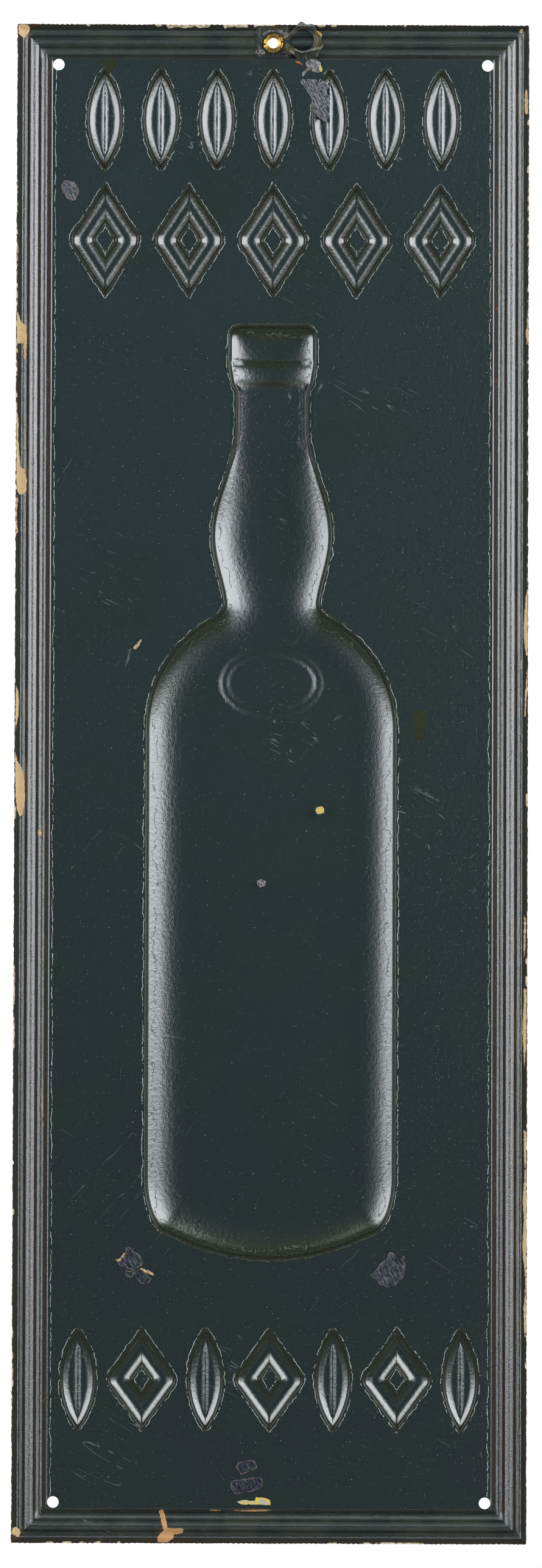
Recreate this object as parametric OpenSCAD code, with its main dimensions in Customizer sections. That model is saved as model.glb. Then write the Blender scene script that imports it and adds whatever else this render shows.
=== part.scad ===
// Embossed tin advertising sign with a swivelling hanging ring.
// X is the width, Z is up, and the printed front faces -Y.
// The origin is the middle of the four corner holes, on the back face of the field.

/* [Sheet] */
// Width of the sign
panel_w = 169; // [165:1:180]
// Height of the sign
panel_h = 500; // [490:1:520]
// Thickness of the tinplate
sheet_t = 0.3; // [0.25:0.05:0.35]

/* [Border moulding] */
// Distance from the edge of the sheet to the crest between the two grooves
crest_in = 5.8; // [5.7:0.05:6]
// Depth of the two grooves behind the field
groove_depth = 2.5; // [2:0.1:2.8]
// Depth of the crest between the grooves
crest_depth = 0.4; // [0.4:0.05:0.6]
// Half length of the flat seat pressed into the crest around the eyelet
seat_half = 4.4; // [4.4:0.1:6]

/* [Corner holes] */
// Radius of the corner holes
hole_r = 1.9; // [1.5:0.1:1.95]
// Distance from the side edges to the corner holes
hole_in_x = 13.8; // [13.8:0.1:15]
// Distance from the top and bottom edges to the corner holes
hole_in_z = 13.5; // [13.5:0.1:15]

/* [Bottle relief] */
// Height of the top of the bottle above the middle of the sign
bottle_top = 150; // [148:1:152]
// Height of the lowest point of the bottle, below the middle of the sign
bottle_bottom = -156.5; // [-158:0.5:-154]
// Half width of the bottle's body
body_half = 41; // [39:0.5:43]
// Half width of the bulge in the neck
bulb_half = 19.6; // [18:0.2:21]
// Half width of the straight neck
neck_half = 11.8; // [11:0.2:12.6]
// Half width of the lip
lip_half = 14.2; // [13.6:0.2:15]
// Depth of the bottle behind the field
bottle_depth = 4.2; // [3.4:0.1:4.6]
// Depth of the straight neck behind the field
neck_depth = 2.9; // [2.4:0.1:3.2]
// Half width of the oval seal on the shoulder
seal_half_w = 18; // [16:0.5:19]
// Half height of the oval seal
seal_half_h = 12.8; // [11.5:0.1:13.5]
// Depth of the seal's ring below the bottle
seal_depth = 0.8; // [0.6:0.1:1]

/* [Ornament] */
// Depth of the ornament behind the field
ornament_depth = 1.7; // [1.2:0.1:2]
// Width of a leaf
leaf_w = 11; // [9:0.5:12]
// Width of a lozenge
lozenge_w = 23.5; // [20:0.5:24]
// Height of the leaves in the top row
top_row_h = 32; // [28:1:34]
// Height of the lozenges in the second row
second_row_h = 36; // [30:1:38]
// Height of the leaves and lozenges in the bottom row
bottom_row_h = 32; // [28:1:36]

/* [Eyelet] */
// Distance from the top edge of the sheet to the middle of the eyelet
eyelet_in = 6.2; // [6:0.05:6.3]
// Radius of the eyelet's bore
eyelet_bore_r = 1.73; // [1.6:0.01:1.75]
// Wall of the eyelet
eyelet_wall = 0.25; // [0.2:0.01:0.27]
// Radius over the petals of the split back end
petal_r = 3.4; // [3.2:0.1:3.6]
// Number of petals
petals = 8; // [6:1:10]

/* [Hanger] */
// Distance from the eyelet to the middle of the ring
hanger_reach = 9.8; // [9.6:0.1:10.2]
// Radius of the opening in the ring
loop_r = 3.73; // [3.5:0.01:3.8]
// Radius of the scalloped outline of the ring, over the lobes
lobe_r = 6.7; // [6.5:0.1:6.9]
// Depth of the scallops between the lobes
scallop = 0.75; // [0.5:0.05:0.9]
// Angle between two lobes
lobe_pitch = 36; // [34:1:38]
// Sideways distance from the middle of the opening to the middle of the scalloped outline
ring_shift = 0.7; // [0:0.1:0.8]
// Turn of the hanger from pointing straight up, seen from behind, clockwise
hanger_turn = 84; // [0:1:90]

/* [Hidden] */
fine = 64;
play = 0.02;

// Sheet joints: each pressed form has a lap that lies inside the field's own thickness
lap = 0.5;
lap_depth = 0.05;
lap_cut = 0.1;

// Border moulding, measured from its crest
wall_top = 5.55;
wall_foot = 4.1;
wall_foot_rise = 0.2;
groove_in = 3.75;
groove_out = 3.2;
swell_steps = 5;
seat_run = 1.6;
eyelet_z = panel_h / 2 - eyelet_in;

// Levels of the bottle's outline
lip_r = 3.4;
lip_side_z = bottle_top - 13.5;
lip_bottom_z = bottle_top - 19.5;
neck_top_z = bottle_top - 21;
neck_bottom_z = 117;
bulb_z = 81;
pinch_z = 57.5;
pinch_half = 15.2;
shoulder_z = 17.2;
heel_z = -130;
heel_half = 33;
crown_r = 70;
lip_taper = 1.1;
pinch_turn = 80;
shoulder_turn = 65;
wall_in = 0.5;
wall_deep = 0.9;
shoulder_run = 9.4;
lip_share = 0.55;
spine_top = bottle_top - 11;
spine_bottom = bottle_bottom + 33;
seal_z = 32.7;
seal_ring_w = 5;
seal_outer_wall = 0.9;
seal_inner_wall = 1.4;
seal_points = 28;
flush = 0.1;

// Rows of ornament
top_row_z = 218.5;
top_row_count = 7;
top_row_pitch = 18.5;
second_row_z = 178.5;
second_row_count = 5;
second_row_pitch = 27.6;
bottom_row_z = -196.3;
bottom_row_count = 7;
bottom_row_pitch = 20.9;
stroke_w = 6.6;
stroke_wall = 1.7;
blunt = 0.9;
leaf_points = 16;
leaf_wall = 1.6;
leaf_brow = 2.3;
leaf_round = 0.25;

// Levels of the parts stacked on the seat
barrel_r = eyelet_bore_r + eyelet_wall;
seat_y = -crest_depth;
hanger_t = 0.3;
base_y = seat_y + play;
flange_y = base_y + hanger_t + play;
flange_t = 0.3;
head_r = 3.3;
head_t = 0.35;
collar_r = 2.6;
base_r = 3.8;
rise_r = 4.3;
rise_run = 0.95;
ring_y = 0.35;
bead_r = 4.45;
bead_half = 0.4;
bead_h = 0.3;
bead_top = 0.15;
bead_y = ring_y + hanger_t;
drop_tip = 5.5;
drop_half = 0.3;
drop_angle = 38;
ring_from = -108;
ring_to = 100;
upper_arm = [[8.3, 4.7], [7, 3.65], [5.8, 2.5], [4.2, 2.2], [2.4, 2.9]];
lower_arm = [[2, -3.2], [4, -3.8], [5.7, -4.05], [6.4, -4.6]];
lean = 0.12;
bore_play = 0.07;

function side_of(v) = [v[1], -v[0]] / norm(v);
function clamp(v, low, high) = min(max(v, low), high);
function smooth(a, b, v) = let (t = clamp((v - a) / (b - a), 0, 1)) t * t * (3 - 2 * t);
function mirrored(half) = concat(half, [for (i = [len(half) - 2:-1:1]) [-half[i][0], half[i][1]]]);
function arc(cx, cz, r, a0, a1, steps) =
    [for (i = [0:steps]) let (a = a0 + (a1 - a0) * i / steps) [cx + r * cos(a), cz + r * sin(a)]];

// Direction square to a curve of [inset, depth] points, towards the front of the sheet
function front_of(curve, i) =
    side_of(curve[min(i + 1, len(curve) - 1)] - curve[max(i - 1, 0)]);

// Faces of a stack of closed rings of n points; ring k + 1 follows ring k
function ring_faces(k, n, m) =
    [for (r = [0:k - 1], i = [0:n - 1])
        let (a = r * n + i, b = r * n + (i + 1) % n, c = ((r + 1) % m) * n + i,
             d = ((r + 1) % m) * n + (i + 1) % n)
        each [[a, b, d], [a, d, c]]];

// One side of the moulding as [distance from the crest, depth], from the top of a wall to the crest; the wall has a
// point level with the crest, where the seat of the eyelet ends
wall_seat = wall_top - (wall_top - wall_foot) * crest_depth / (groove_depth - wall_foot_rise);
moulding_side = concat(
    [[wall_top, 0], [wall_seat, -crest_depth], [wall_foot, -groove_depth + wall_foot_rise],
     [groove_in, -groove_depth], [groove_out, -groove_depth]],
    [for (i = [1:swell_steps])
        let (t = i / (swell_steps + 1))
        [groove_out * (1 - t), -groove_depth + (groove_depth - crest_depth) * (1 - cos(180 * t)) / 2]]);

// The whole moulding as [distance from the edge, depth], with the lap that joins the field
moulding = concat(
    [for (p = moulding_side) [crest_in - p[0], p[1]]],
    [[crest_in, -crest_depth]],
    [for (i = [len(moulding_side) - 1:-1:1]) [crest_in + moulding_side[i][0], moulding_side[i][1]]],
    [[crest_in + wall_top, -lap_depth], [crest_in + wall_top + lap, -lap_depth]]);

// The moulding filled up to the crest, for the seat of the eyelet
seat_moulding = [for (p = moulding) [p[0], max(p[1], -crest_depth)]];

// A closed section: the back of the sheet, then its front, one thickness away
function section(curve) =
    let (last = len(curve) - 1)
    concat(curve, [for (i = [last:-1:0])
        let (lapped = i > last - 2, v = lapped ? [0, -1] : front_of(curve, i))
        curve[i] + v * (lapped ? sheet_t - 2 * lap_depth : sheet_t)]);

function corner_ring(sx, sz) =
    [for (p = section(moulding)) [sx * (panel_w / 2 - p[0]), p[1], sz * (panel_h / 2 - p[0])]];
function top_ring(x, curve) = [for (p = section(curve)) [x, p[1], panel_h / 2 - p[0]]];

module border() {
    rings = [
        corner_ring(1, 1), corner_ring(1, -1), corner_ring(-1, -1), corner_ring(-1, 1),
        top_ring(-seat_half - seat_run, moulding), top_ring(-seat_half, seat_moulding),
        top_ring(seat_half, seat_moulding), top_ring(seat_half + seat_run, moulding)];
    polyhedron([for (r = rings) each r], ring_faces(len(rings), len(rings[0]), len(rings)));
}

// A point carried from the outline towards the spine by an inset
function inset(p, q, d, reach) =
    p + (q - p) * min(d / (is_undef(reach) ? norm(q - p) : reach), 0.9);

function spine_of(p, spine) = [0, clamp(p[1], spine[0], spine[1])];

// Rows of a pressed form as [inset, level, depth]: the back from the middle out, then the front
function pressed_rows(curve) =
    let (last = len(curve) - 1)
    concat(
        [for (i = [last:-1:0]) [curve[i][0], curve[i][1], curve[i][1]]],
        [for (i = [0:last])
            let (lapped = i < 2, v = lapped ? [0, -1] : front_of(curve, i),
                 t = lapped ? sheet_t - 2 * lap_depth : sheet_t)
            [curve[i][0] + t * v[0], curve[i][1] + t * v[1], curve[i][1]]]);

function bottle_deepness(z) =
    let (neck = neck_depth / bottle_depth)
    1 - (1 - neck) * (smooth(bulb_z + 9, neck_bottom_z, z)
        - lip_share * smooth(lip_bottom_z - 2, lip_bottom_z + 2, z));

// A thin pressed form inside a mirrored outline; the curve gives its depth against the inset
module pressed(outline, curve, spine = [0, 0], reach = undef, level = 0, bottle = false) {
    n = len(outline);
    rows = pressed_rows(curve);
    m = len(rows);
    points = [for (row = rows, p = outline)
        let (q = inset(p, spine_of(p, spine), row[0], reach),
             k = bottle ? bottle_deepness(q[1]) - 1 : 0)
        [q[0], level + row[1] + k * row[2], q[1]]];
    back_cap = [for (i = [0:n / 2 - 1])
        let (a = i, b = i + 1, c = (n - i) % n, d = n - i - 1)
        each concat(i == 0 ? [] : [[a, c, b]], i == n / 2 - 1 ? [] : [[b, c, d]])];
    top = (m - 1) * n;
    front_cap = [for (f = back_cap) [f[0] + top, f[2] + top, f[1] + top]];
    polyhedron(points, concat(ring_faces(m - 1, n, m), back_cap, front_cap));
}

// The opening that a pressed form needs in the sheet around it
module pressed_cut(outline, spine = [0, 0], reach = undef) {
    polygon([for (p = outline) inset(p, spine_of(p, spine), lap_cut, reach)]);
}

// Half of the bottle's outline, from the middle of the lip down to the middle of the base
crown_z = bottle_bottom + crown_r;
heel_low_z = crown_z - sqrt(crown_r * crown_r - heel_half * heel_half);
crown_angle = asin(heel_half / crown_r);
bottle_half = concat(
    [[0, bottle_top]],
    arc(lip_half - lip_r, bottle_top - lip_r, lip_r, 90, 0, 4),
    [[lip_half, lip_side_z], [lip_half - lip_taper, lip_bottom_z], [neck_half, neck_top_z]],
    [for (i = [0:6])
        let (z = neck_bottom_z + (bulb_z - neck_bottom_z) * i / 6)
        [neck_half + (bulb_half - neck_half) * pow(sin(90 * i / 6), 2), z]],
    [for (i = [1:4])
        let (t = i / 4)
        [bulb_half - (bulb_half - pinch_half) * pow(sin(pinch_turn * t), 2),
         bulb_z + (pinch_z - bulb_z) * t]],
    arc(0, shoulder_z, body_half, shoulder_turn, 0, 9),
    [for (i = [0:5])
        let (a = 90 * i / 5)
        [heel_half + (body_half - heel_half) * cos(a), heel_z + (heel_low_z - heel_z) * sin(a)]],
    [for (i = [1:4])
        let (a = crown_angle * (1 - i / 4))
        [crown_r * sin(a), crown_z - crown_r * cos(a)]]);
bottle_outline = mirrored(bottle_half);
bottle_spine = [spine_bottom, spine_top];

// Depth of the bottle against the inset: a short steep wall, then a round shoulder to the flat middle
bottle_curve = concat(
    [[-lap, -lap_depth], [0, -lap_depth], [wall_in, -wall_deep]],
    [for (i = [1:5])
        let (t = i / 5)
        [wall_in + shoulder_run * (1 - cos(90 * t)),
         -wall_deep - (bottle_depth - wall_deep) * sin(90 * t)]]);

function oval(rx, rz, n) = [for (i = [0:n - 1]) let (a = 90 - 360 * i / n) [rx * cos(a), rz * sin(a)]];
seal_outline = oval(seal_half_w, seal_half_h, seal_points);
seal_spine = [-0.1, 0.1];
seal_curve = [
    [-lap, -lap_depth], [0, -lap_depth], [seal_outer_wall, -seal_depth],
    [seal_ring_w - seal_inner_wall, -seal_depth], [seal_ring_w, -flush]];

// A leaf: two equal arcs that meet in points at the top and bottom
function leaf_outline(w, h) =
    let (r = (w * w + h * h) / (4 * w), a = asin(h / 2 / r), steps = leaf_points / 2)
    mirrored([for (i = [0:steps]) let (b = a - 2 * a * i / steps) [w / 2 - r + r * cos(b), r * sin(b)]]);
leaf_curve = [
    [-lap, -lap_depth], [0, -lap_depth], [leaf_wall, -ornament_depth + leaf_round],
    [leaf_brow, -ornament_depth]];

// A lozenge with blunt side corners
function lozenge_outline(w, h) =
    let (side = w / 2 - blunt, c = blunt * h / w)
    mirrored([[0, h / 2], [side, c], [w / 2, 0], [side, -c], [0, -h / 2]]);
function lozenge_reach(w, h) = w * h / 2 / norm([w, h]);
lozenge_curve = [
    [-lap, -lap_depth], [0, -lap_depth], [stroke_wall, -ornament_depth],
    [stroke_w - stroke_wall, -ornament_depth], [stroke_w, -flush]];

function row_x(i, count, pitch) = (i - (count - 1) / 2) * pitch;

module leaf(h) {
    pressed(leaf_outline(leaf_w, h), leaf_curve, [leaf_w / 2 - h / 2, h / 2 - leaf_w / 2]);
}

module leaf_cut(h) {
    pressed_cut(leaf_outline(leaf_w, h), [leaf_w / 2 - h / 2, h / 2 - leaf_w / 2]);
}

module lozenge(h) {
    pressed(lozenge_outline(lozenge_w, h), lozenge_curve, reach = lozenge_reach(lozenge_w, h));
}

module lozenge_cut(h) {
    pressed_cut(lozenge_outline(lozenge_w, h), reach = lozenge_reach(lozenge_w, h));
}

// Places of the leaves and lozenges as [x, z, height]
leaf_places = concat(
    [for (i = [0:top_row_count - 1])
        [row_x(i, top_row_count, top_row_pitch), top_row_z, top_row_h]],
    [for (i = [0:2:bottom_row_count - 1])
        [row_x(i, bottom_row_count, bottom_row_pitch), bottom_row_z, bottom_row_h]]);
lozenge_places = concat(
    [for (i = [0:second_row_count - 1])
        [row_x(i, second_row_count, second_row_pitch), second_row_z, second_row_h]],
    [for (i = [1:2:bottom_row_count - 1])
        [row_x(i, bottom_row_count, bottom_row_pitch), bottom_row_z, bottom_row_h]]);

// Carries a flat shape in X and Z through the depths from y0 up to y1
module deep(y0, y1) {
    translate([0, y1, 0])
        rotate([90, 0, 0])
            linear_extrude(y1 - y0)
                children();
}

// Turns a section of [radius, y] points about the Y axis
module turned(section) {
    rotate([-90, 0, 0])
        rotate_extrude($fn = fine)
            polygon(section);
}

module drill(r, y0, y1) {
    translate([0, y0, 0])
        rotate([-90, 0, 0])
            cylinder(h = y1 - y0, r = r, $fn = fine);
}

module field() {
    field_in = crest_in + wall_top - lap_cut;
    deep(-sheet_t, 0)
        difference() {
            square([panel_w - 2 * field_in, panel_h - 2 * field_in], center = true);
            pressed_cut(bottle_outline, bottle_spine);
            for (p = leaf_places)
                translate([p[0], p[1]])
                    leaf_cut(p[2]);
            for (p = lozenge_places)
                translate([p[0], p[1]])
                    lozenge_cut(p[2]);
        }
}

module bottle() {
    difference() {
        pressed(bottle_outline, bottle_curve, bottle_spine, bottle = true);
        translate([0, 0, seal_z])
            deep(-bottle_depth - 1, -bottle_depth + 1)
                pressed_cut(seal_outline, seal_spine);
    }
    translate([0, 0, seal_z])
        pressed(seal_outline, seal_curve, seal_spine, level = -bottle_depth);
}

// The pressed sheet: border, field, bottle and ornament in one piece
module panel() {
    color([0.17, 0.24, 0.24])
        difference() {
            union() {
                border();
                field();
                bottle();
                for (p = leaf_places)
                    translate([p[0], 0, p[1]])
                        leaf(p[2]);
                for (p = lozenge_places)
                    translate([p[0], 0, p[1]])
                        lozenge(p[2]);
            }
            for (sx = [-1, 1], sz = [-1, 1])
                translate([sx * (panel_w / 2 - hole_in_x), 0, sz * (panel_h / 2 - hole_in_z)])
                    drill(hole_r, -2, 1);
            translate([0, 0, eyelet_z])
                drill(barrel_r + play, -2, 1);
        }
}

// A brass eyelet: a round head in front, a barrel, and a back end split into petals
module eyelet() {
    notch_r = petal_r + 0.6;
    head_y = seat_y - sheet_t;
    top_y = flange_y + flange_t;
    color([0.72, 0.58, 0.27])
        translate([0, 0, eyelet_z])
            difference() {
                turned([
                    [eyelet_bore_r, head_y - head_t * 0.6], [eyelet_bore_r + 0.15, head_y - head_t],
                    [head_r - 0.2, head_y - head_t], [head_r, head_y - head_t * 0.6], [head_r, head_y],
                    [barrel_r, head_y], [barrel_r, flange_y], [petal_r, flange_y],
                    [petal_r, top_y - 0.15], [collar_r, top_y], [eyelet_bore_r + 0.15, top_y],
                    [eyelet_bore_r, top_y - 0.12]]);
                for (i = [0:petals - 1])
                    deep(flange_y - 0.01, top_y + 0.1)
                        rotate(360 * (i + 0.5) / petals)
                            polygon([[collar_r, 0], [notch_r, 0.55], [notch_r, -0.55]]);
            }
}

// Outline of the hanger, pointing along +X from the eyelet at the origin
module hanger_outline() {
    circle(r = base_r, $fn = fine);
    mirror([0, 1])
        polygon(concat(
            [for (a = [ring_from:4:ring_to])
                let (r = lobe_r - scallop * (1 - cos(360 * (a - lobe_pitch / 2) / lobe_pitch)) / 2)
                [hanger_reach + r * cos(a), r * sin(a) - ring_shift]],
            upper_arm, lower_arm));
}

// The hanging ring: a flat base on the seat, cranked up all round so that the ring clears the sheet
module hanger() {
    far = hanger_reach + lobe_r + 1;
    color([0.24, 0.25, 0.15])
        translate([0, 0, eyelet_z])
            rotate([0, 270 - hanger_turn, 0])
                difference() {
                    union() {
                        intersection() {
                            turned([
                                [0, base_y], [rise_r, base_y], [rise_r + rise_run, ring_y], [far, ring_y],
                                [far, ring_y + hanger_t], [rise_r + rise_run - lean, ring_y + hanger_t],
                                [rise_r - lean, base_y + hanger_t], [0, base_y + hanger_t]]);
                            deep(base_y - 1, ring_y + 1)
                                hanger_outline();
                        }
                        intersection() {
                            translate([hanger_reach, 0, 0])
                                turned([
                                    [bead_r - bead_half, ring_y + 0.1], [bead_r + bead_half, ring_y + 0.1],
                                    [bead_r + bead_half, bead_y], [bead_r + bead_top, bead_y + bead_h],
                                    [bead_r - bead_top, bead_y + bead_h], [bead_r - bead_half, bead_y]]);
                            deep(ring_y, bead_y + 1)
                                hanger_outline();
                        }
                    }
                    drill(barrel_r + bore_play, base_y - 1, ring_y + 1);
                    translate([hanger_reach, 0, 0])
                        drill(loop_r, base_y - 1, ring_y + 2);
                    deep(base_y - 1, ring_y + 2)
                        polygon([
                            [hanger_reach - drop_tip, drop_half],
                            [hanger_reach - loop_r * cos(drop_angle), loop_r * sin(drop_angle)],
                            [hanger_reach, 0],
                            [hanger_reach - loop_r * cos(drop_angle), -loop_r * sin(drop_angle)],
                            [hanger_reach - drop_tip, -drop_half]]);
                }
}

panel();
eyelet();
hanger();
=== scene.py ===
# A tin wall sign, pressed with a bottle between rows of leaves and lozenges, seen from its painted back.
import math

import bpy
import numpy as np
from mathutils import Matrix, Vector
from mathutils.geometry import delaunay_2d_cdt


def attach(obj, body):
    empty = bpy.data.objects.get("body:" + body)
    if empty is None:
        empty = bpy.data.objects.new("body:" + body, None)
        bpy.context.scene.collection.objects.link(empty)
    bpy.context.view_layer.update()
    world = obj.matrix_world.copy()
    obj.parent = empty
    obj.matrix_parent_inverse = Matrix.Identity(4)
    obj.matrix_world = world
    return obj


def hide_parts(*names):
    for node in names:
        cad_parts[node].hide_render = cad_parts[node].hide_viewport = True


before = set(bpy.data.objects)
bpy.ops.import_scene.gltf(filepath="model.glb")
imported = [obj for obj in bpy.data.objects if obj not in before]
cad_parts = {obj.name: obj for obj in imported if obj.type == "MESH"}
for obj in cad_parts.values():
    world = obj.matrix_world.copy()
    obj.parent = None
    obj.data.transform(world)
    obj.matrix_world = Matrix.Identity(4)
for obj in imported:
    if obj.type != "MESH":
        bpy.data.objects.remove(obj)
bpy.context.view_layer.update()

# Shapes are worked out in millimetres and brought to metres when a mesh is made
MM = 0.001

# Sheet and border moulding, with distances from the edge of the sheet
HALF_W = 84.5
HALF_H = 250.0
SHEET_T = 0.3
WELD = 0.002
STEEP = math.cos(math.radians(44))
CREST_IN = 5.8
CREST_DEPTH = 0.4
GROOVE_DEPTH = 2.5
WALL_TOP = 5.55
WALL_FOOT = 4.1
GROOVE_IN = 3.75
GROOVE_OUT = 3.1
SWELL = [(3.0, 2.46), (2.2, 2.12), (1.35, 1.05), (0.4, 0.43), (0, 0.4)]
FILLET_AT = (10.0, 11.45, 11.65, 11.85, 12.1)
FILLET_DEPTH = (-2.35, -0.36, -0.19, -0.07, 0)
BORDER_IN = 11.5
SEAT_HALF = 4.4
SEAT_RUN = 1.6
SEAT_PATCH = 9.0
SEAT_FOOT = 237.5
FOLDS_END = 156.0
HOLE_R = 1.9
HOLE_IN_X = 13.8
HOLE_IN_Z = 13.5

# Bottle relief
BOTTLE_TOP = 150.0
BOTTLE_BOTTOM = -156.5
BODY_HALF = 41.0
BULB_HALF = 19.6
BULB_Z = 81.0
NECK_HALF = 11.8
NECK_BOTTOM = 117.0
LIP_HALF = 14.2
LIP_R = 3.4
PINCH_Z = 57.5
PINCH_IN = 4.4
SHOULDER_Z = 17.2
HEEL_Z = -130.0
HEEL_HALF = 33.0
CROWN_R = 70.0
SPINE_TOP = 139.0
SPINE_BOTTOM = -123.5
BOTTLE_DEPTH = 4.2
BOTTLE_WALL = 0.5
BOTTLE_WALL_DEPTH = 0.9
SHOULDER_RUN = 14.0
NECK_WALL_DEPTH = 2.2
NECK_DEPTH = 2.9
NECK_RUN = 10.0
LIP_GROOVE_Z = 137.9
LIP_FOOT_Z = 130.6
SEAL_Z = 32.7
SEAL_HALF_W = 18.0
SEAL_HALF_H = 12.8
SEAL_RING = 5.0
SEAL_DEPTH = 0.27

# Ornament, with the middle and the height of each leaf and lozenge
LEAF_W = 11.0
LOZENGE_W = 23.5
STROKE_W = 6.6
ORNAMENT_DEPTH = 1.7
LEAVES = [((i - 3) * 18.5, 218.5, 32.0) for i in range(7)]
LEAVES += [((i - 3) * 20.9, -196.3, 32.0) for i in range(0, 7, 2)]
LOZENGES = [((i - 2) * 27.6, 178.5, 36.0) for i in range(5)]
LOZENGES += [((i - 3) * 20.9, -196.3, 32.0) for i in range(1, 7, 2)]

# Eyelet and hanging ring, with levels in Y
EYELET_Z = 243.8
BORE_R = 1.73
BARREL_R = 1.98
PETAL_R = 3.4
PETALS = 8
HEAD_R = 3.3
BASE_Y = -0.38
FLANGE_Y = -0.06
HANGER_T = 0.3
RING_Y = 0.35
HANGER_REACH = 9.8
HANGER_RISE = 6.0
LOOP_R = 3.73
LOBE_R = 6.7
SCALLOP = 0.75
LOBE_PITCH = 36.0
RING_SHIFT = 0.7
BASE_R = 3.8
BASE_BORE_R = BARREL_R + 0.07
DROP_TIP = 5.5
DROP_HALF = 0.3
DROP_ANGLE = 38.0
BEAD_R = 4.45
UPPER_ARM = [(8.3, 4.7), (7, 3.65), (5.8, 2.5), (4.2, 2.2), (2.4, 2.9)]
LOWER_ARM = [(2, -3.2), (4, -3.8), (5.7, -4.05), (6.4, -4.6)]


def ramp(value, low, high):
    """A smooth step from 0 at low to 1 at high."""
    t = np.clip((value - low) / (high - low), 0, 1)
    return t * t * (3 - 2 * t)


def ripple(x, z, size, seed):
    """A smooth wander of about -1 to 1: nine sine waves of like length in seeded directions."""
    draw = np.random.default_rng(seed)
    total = 0.0
    for _ in range(9):
        turn, phase = draw.uniform(0, 2 * math.pi, 2)
        wave = 2 * math.pi / (size * draw.uniform(0.6, 1.7))
        total = total + np.sin(wave * (x * math.cos(turn) + z * math.sin(turn)) + phase)
    return total / 3


def profile(knots, blur):
    """Depth against distance: straight lines through the knots, averaged over a short span."""
    step = 0.02
    distance, depth = np.transpose(knots)
    s = np.arange(distance[0] - 1, distance[-1] + 1, step)
    reach = int(3 * blur / step)
    weight = np.exp(-((np.arange(-reach, reach + 1) * step / blur) ** 2) / 2)
    y = np.convolve(np.pad(np.interp(s, distance, depth), reach, mode="edge"), weight / weight.sum(), "valid")
    return lambda d: np.interp(d, s, y)


def border_knots():
    """Half the moulding: wall, groove and a swell with a steep middle; then the same mirrored."""
    wall = [(WALL_TOP + 0.2, 0), (WALL_TOP, 0), (WALL_FOOT, GROOVE_DEPTH - 0.2)]
    groove = [(GROOVE_IN, GROOVE_DEPTH), (GROOVE_OUT, GROOVE_DEPTH)]
    half = np.array(wall + groove + SWELL) * (-1, -1) + (CREST_IN, 0)
    return np.concatenate([half, half[-2::-1] * (-1, 1) + (2 * CREST_IN, 0)])


border_level = profile(border_knots(), 0.11)


def rounded_wall(wall_depth, depth, run):
    """Depth of a pressed wall: a short steep step, then a quarter ellipse that turns level."""
    turn = np.linspace(0, math.pi / 2, 25)
    down = wall_depth + (depth - wall_depth) * np.sin(turn)
    arch = np.transpose([BOTTLE_WALL + run * (1 - np.cos(turn)), down])
    return profile(np.concatenate([[(-1, 0), (0, 0)], arch, [(BOTTLE_WALL + run + 3, depth)]]), 0.14)


body_wall = rounded_wall(BOTTLE_WALL_DEPTH, BOTTLE_DEPTH, SHOULDER_RUN)
neck_wall = rounded_wall(NECK_WALL_DEPTH, NECK_DEPTH, NECK_RUN)
CHANNEL_WALL = 0.6
CHANNEL_TURN = math.radians(41)
CHANNEL_RUN = 2.35


def channel_knots():
    """Wall of a pressed stroke: steep at first, then an arc that turns level at its foot."""
    turn = np.linspace(CHANNEL_TURN, 0, 13)
    radius = CHANNEL_RUN / math.sin(CHANNEL_TURN)
    run = CHANNEL_WALL + radius * (math.sin(CHANNEL_TURN) - np.sin(turn))
    y = -ORNAMENT_DEPTH + radius * (1 - np.cos(turn))
    return np.concatenate([[(-1, 0), (0, 0)], np.transpose([run, y])])


leaf_level = profile(np.concatenate([channel_knots(), [(6, -ORNAMENT_DEPTH)]]), 0.13)
stroke_level = profile(
    np.concatenate([channel_knots(), (channel_knots() * (-1, 1) + (STROKE_W, 0))[::-1], [(9, 0)]]), 0.13)


def seal_level(inset):
    """Depth of the seal's ring: one soft wave."""
    return -SEAL_DEPTH * (1 - np.cos(2 * math.pi * np.clip(inset / SEAL_RING, 0, 1))) / 2


def edge_distance(x, z):
    """Distance in from the nearest edge of the sheet."""
    return np.minimum(HALF_W - np.abs(x), HALF_H - np.abs(z))


def sheet_level(x, z):
    """Depth of the sheet's back outside the relief: the moulding, filled up at the eyelet's seat."""
    across = HALF_W - np.abs(x)
    rounded = ramp(HALF_H - np.abs(z) - across, 0.3, 2.5) * (across > FILLET_AT[0])
    y = border_level(edge_distance(x, z))
    y = np.minimum(y, np.interp(across, FILLET_AT, FILLET_DEPTH) * rounded)
    seat = (1 - ramp(np.abs(x), SEAT_HALF, SEAT_HALF + SEAT_RUN)) * (z > HALF_H - 2 * CREST_IN - 1)
    return y + seat * (np.maximum(y, -CREST_DEPTH) - y)


def pairs(x, z):
    """Flat places from arrays of x and z."""
    return np.transpose([np.ravel(x), np.ravel(z)])


def grid(xs, zs):
    """Flat places at every x and z, row by row."""
    return pairs(*np.meshgrid(xs, zs))


def even_loop(points, count, soften):
    """A closed loop with evenly spaced points, its corners softened by averaging along it."""
    closed = np.concatenate([points, points[:1]])
    run = np.concatenate([[0], np.cumsum(np.hypot(*np.diff(closed, axis=0).T))])
    at = np.arange(count) * run[-1] / count
    loop = np.transpose([np.interp(at, run, closed[:, k]) for k in (0, 1)])
    spread = soften * count / run[-1]
    reach = max(int(3 * spread), 1)
    weight = np.exp(-((np.arange(-reach, reach + 1) / spread) ** 2) / 2)
    padded = np.concatenate([loop[-reach:], loop, loop[:reach]])
    return np.transpose([np.convolve(padded[:, k], weight / weight.sum(), "valid") for k in (0, 1)])


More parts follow.
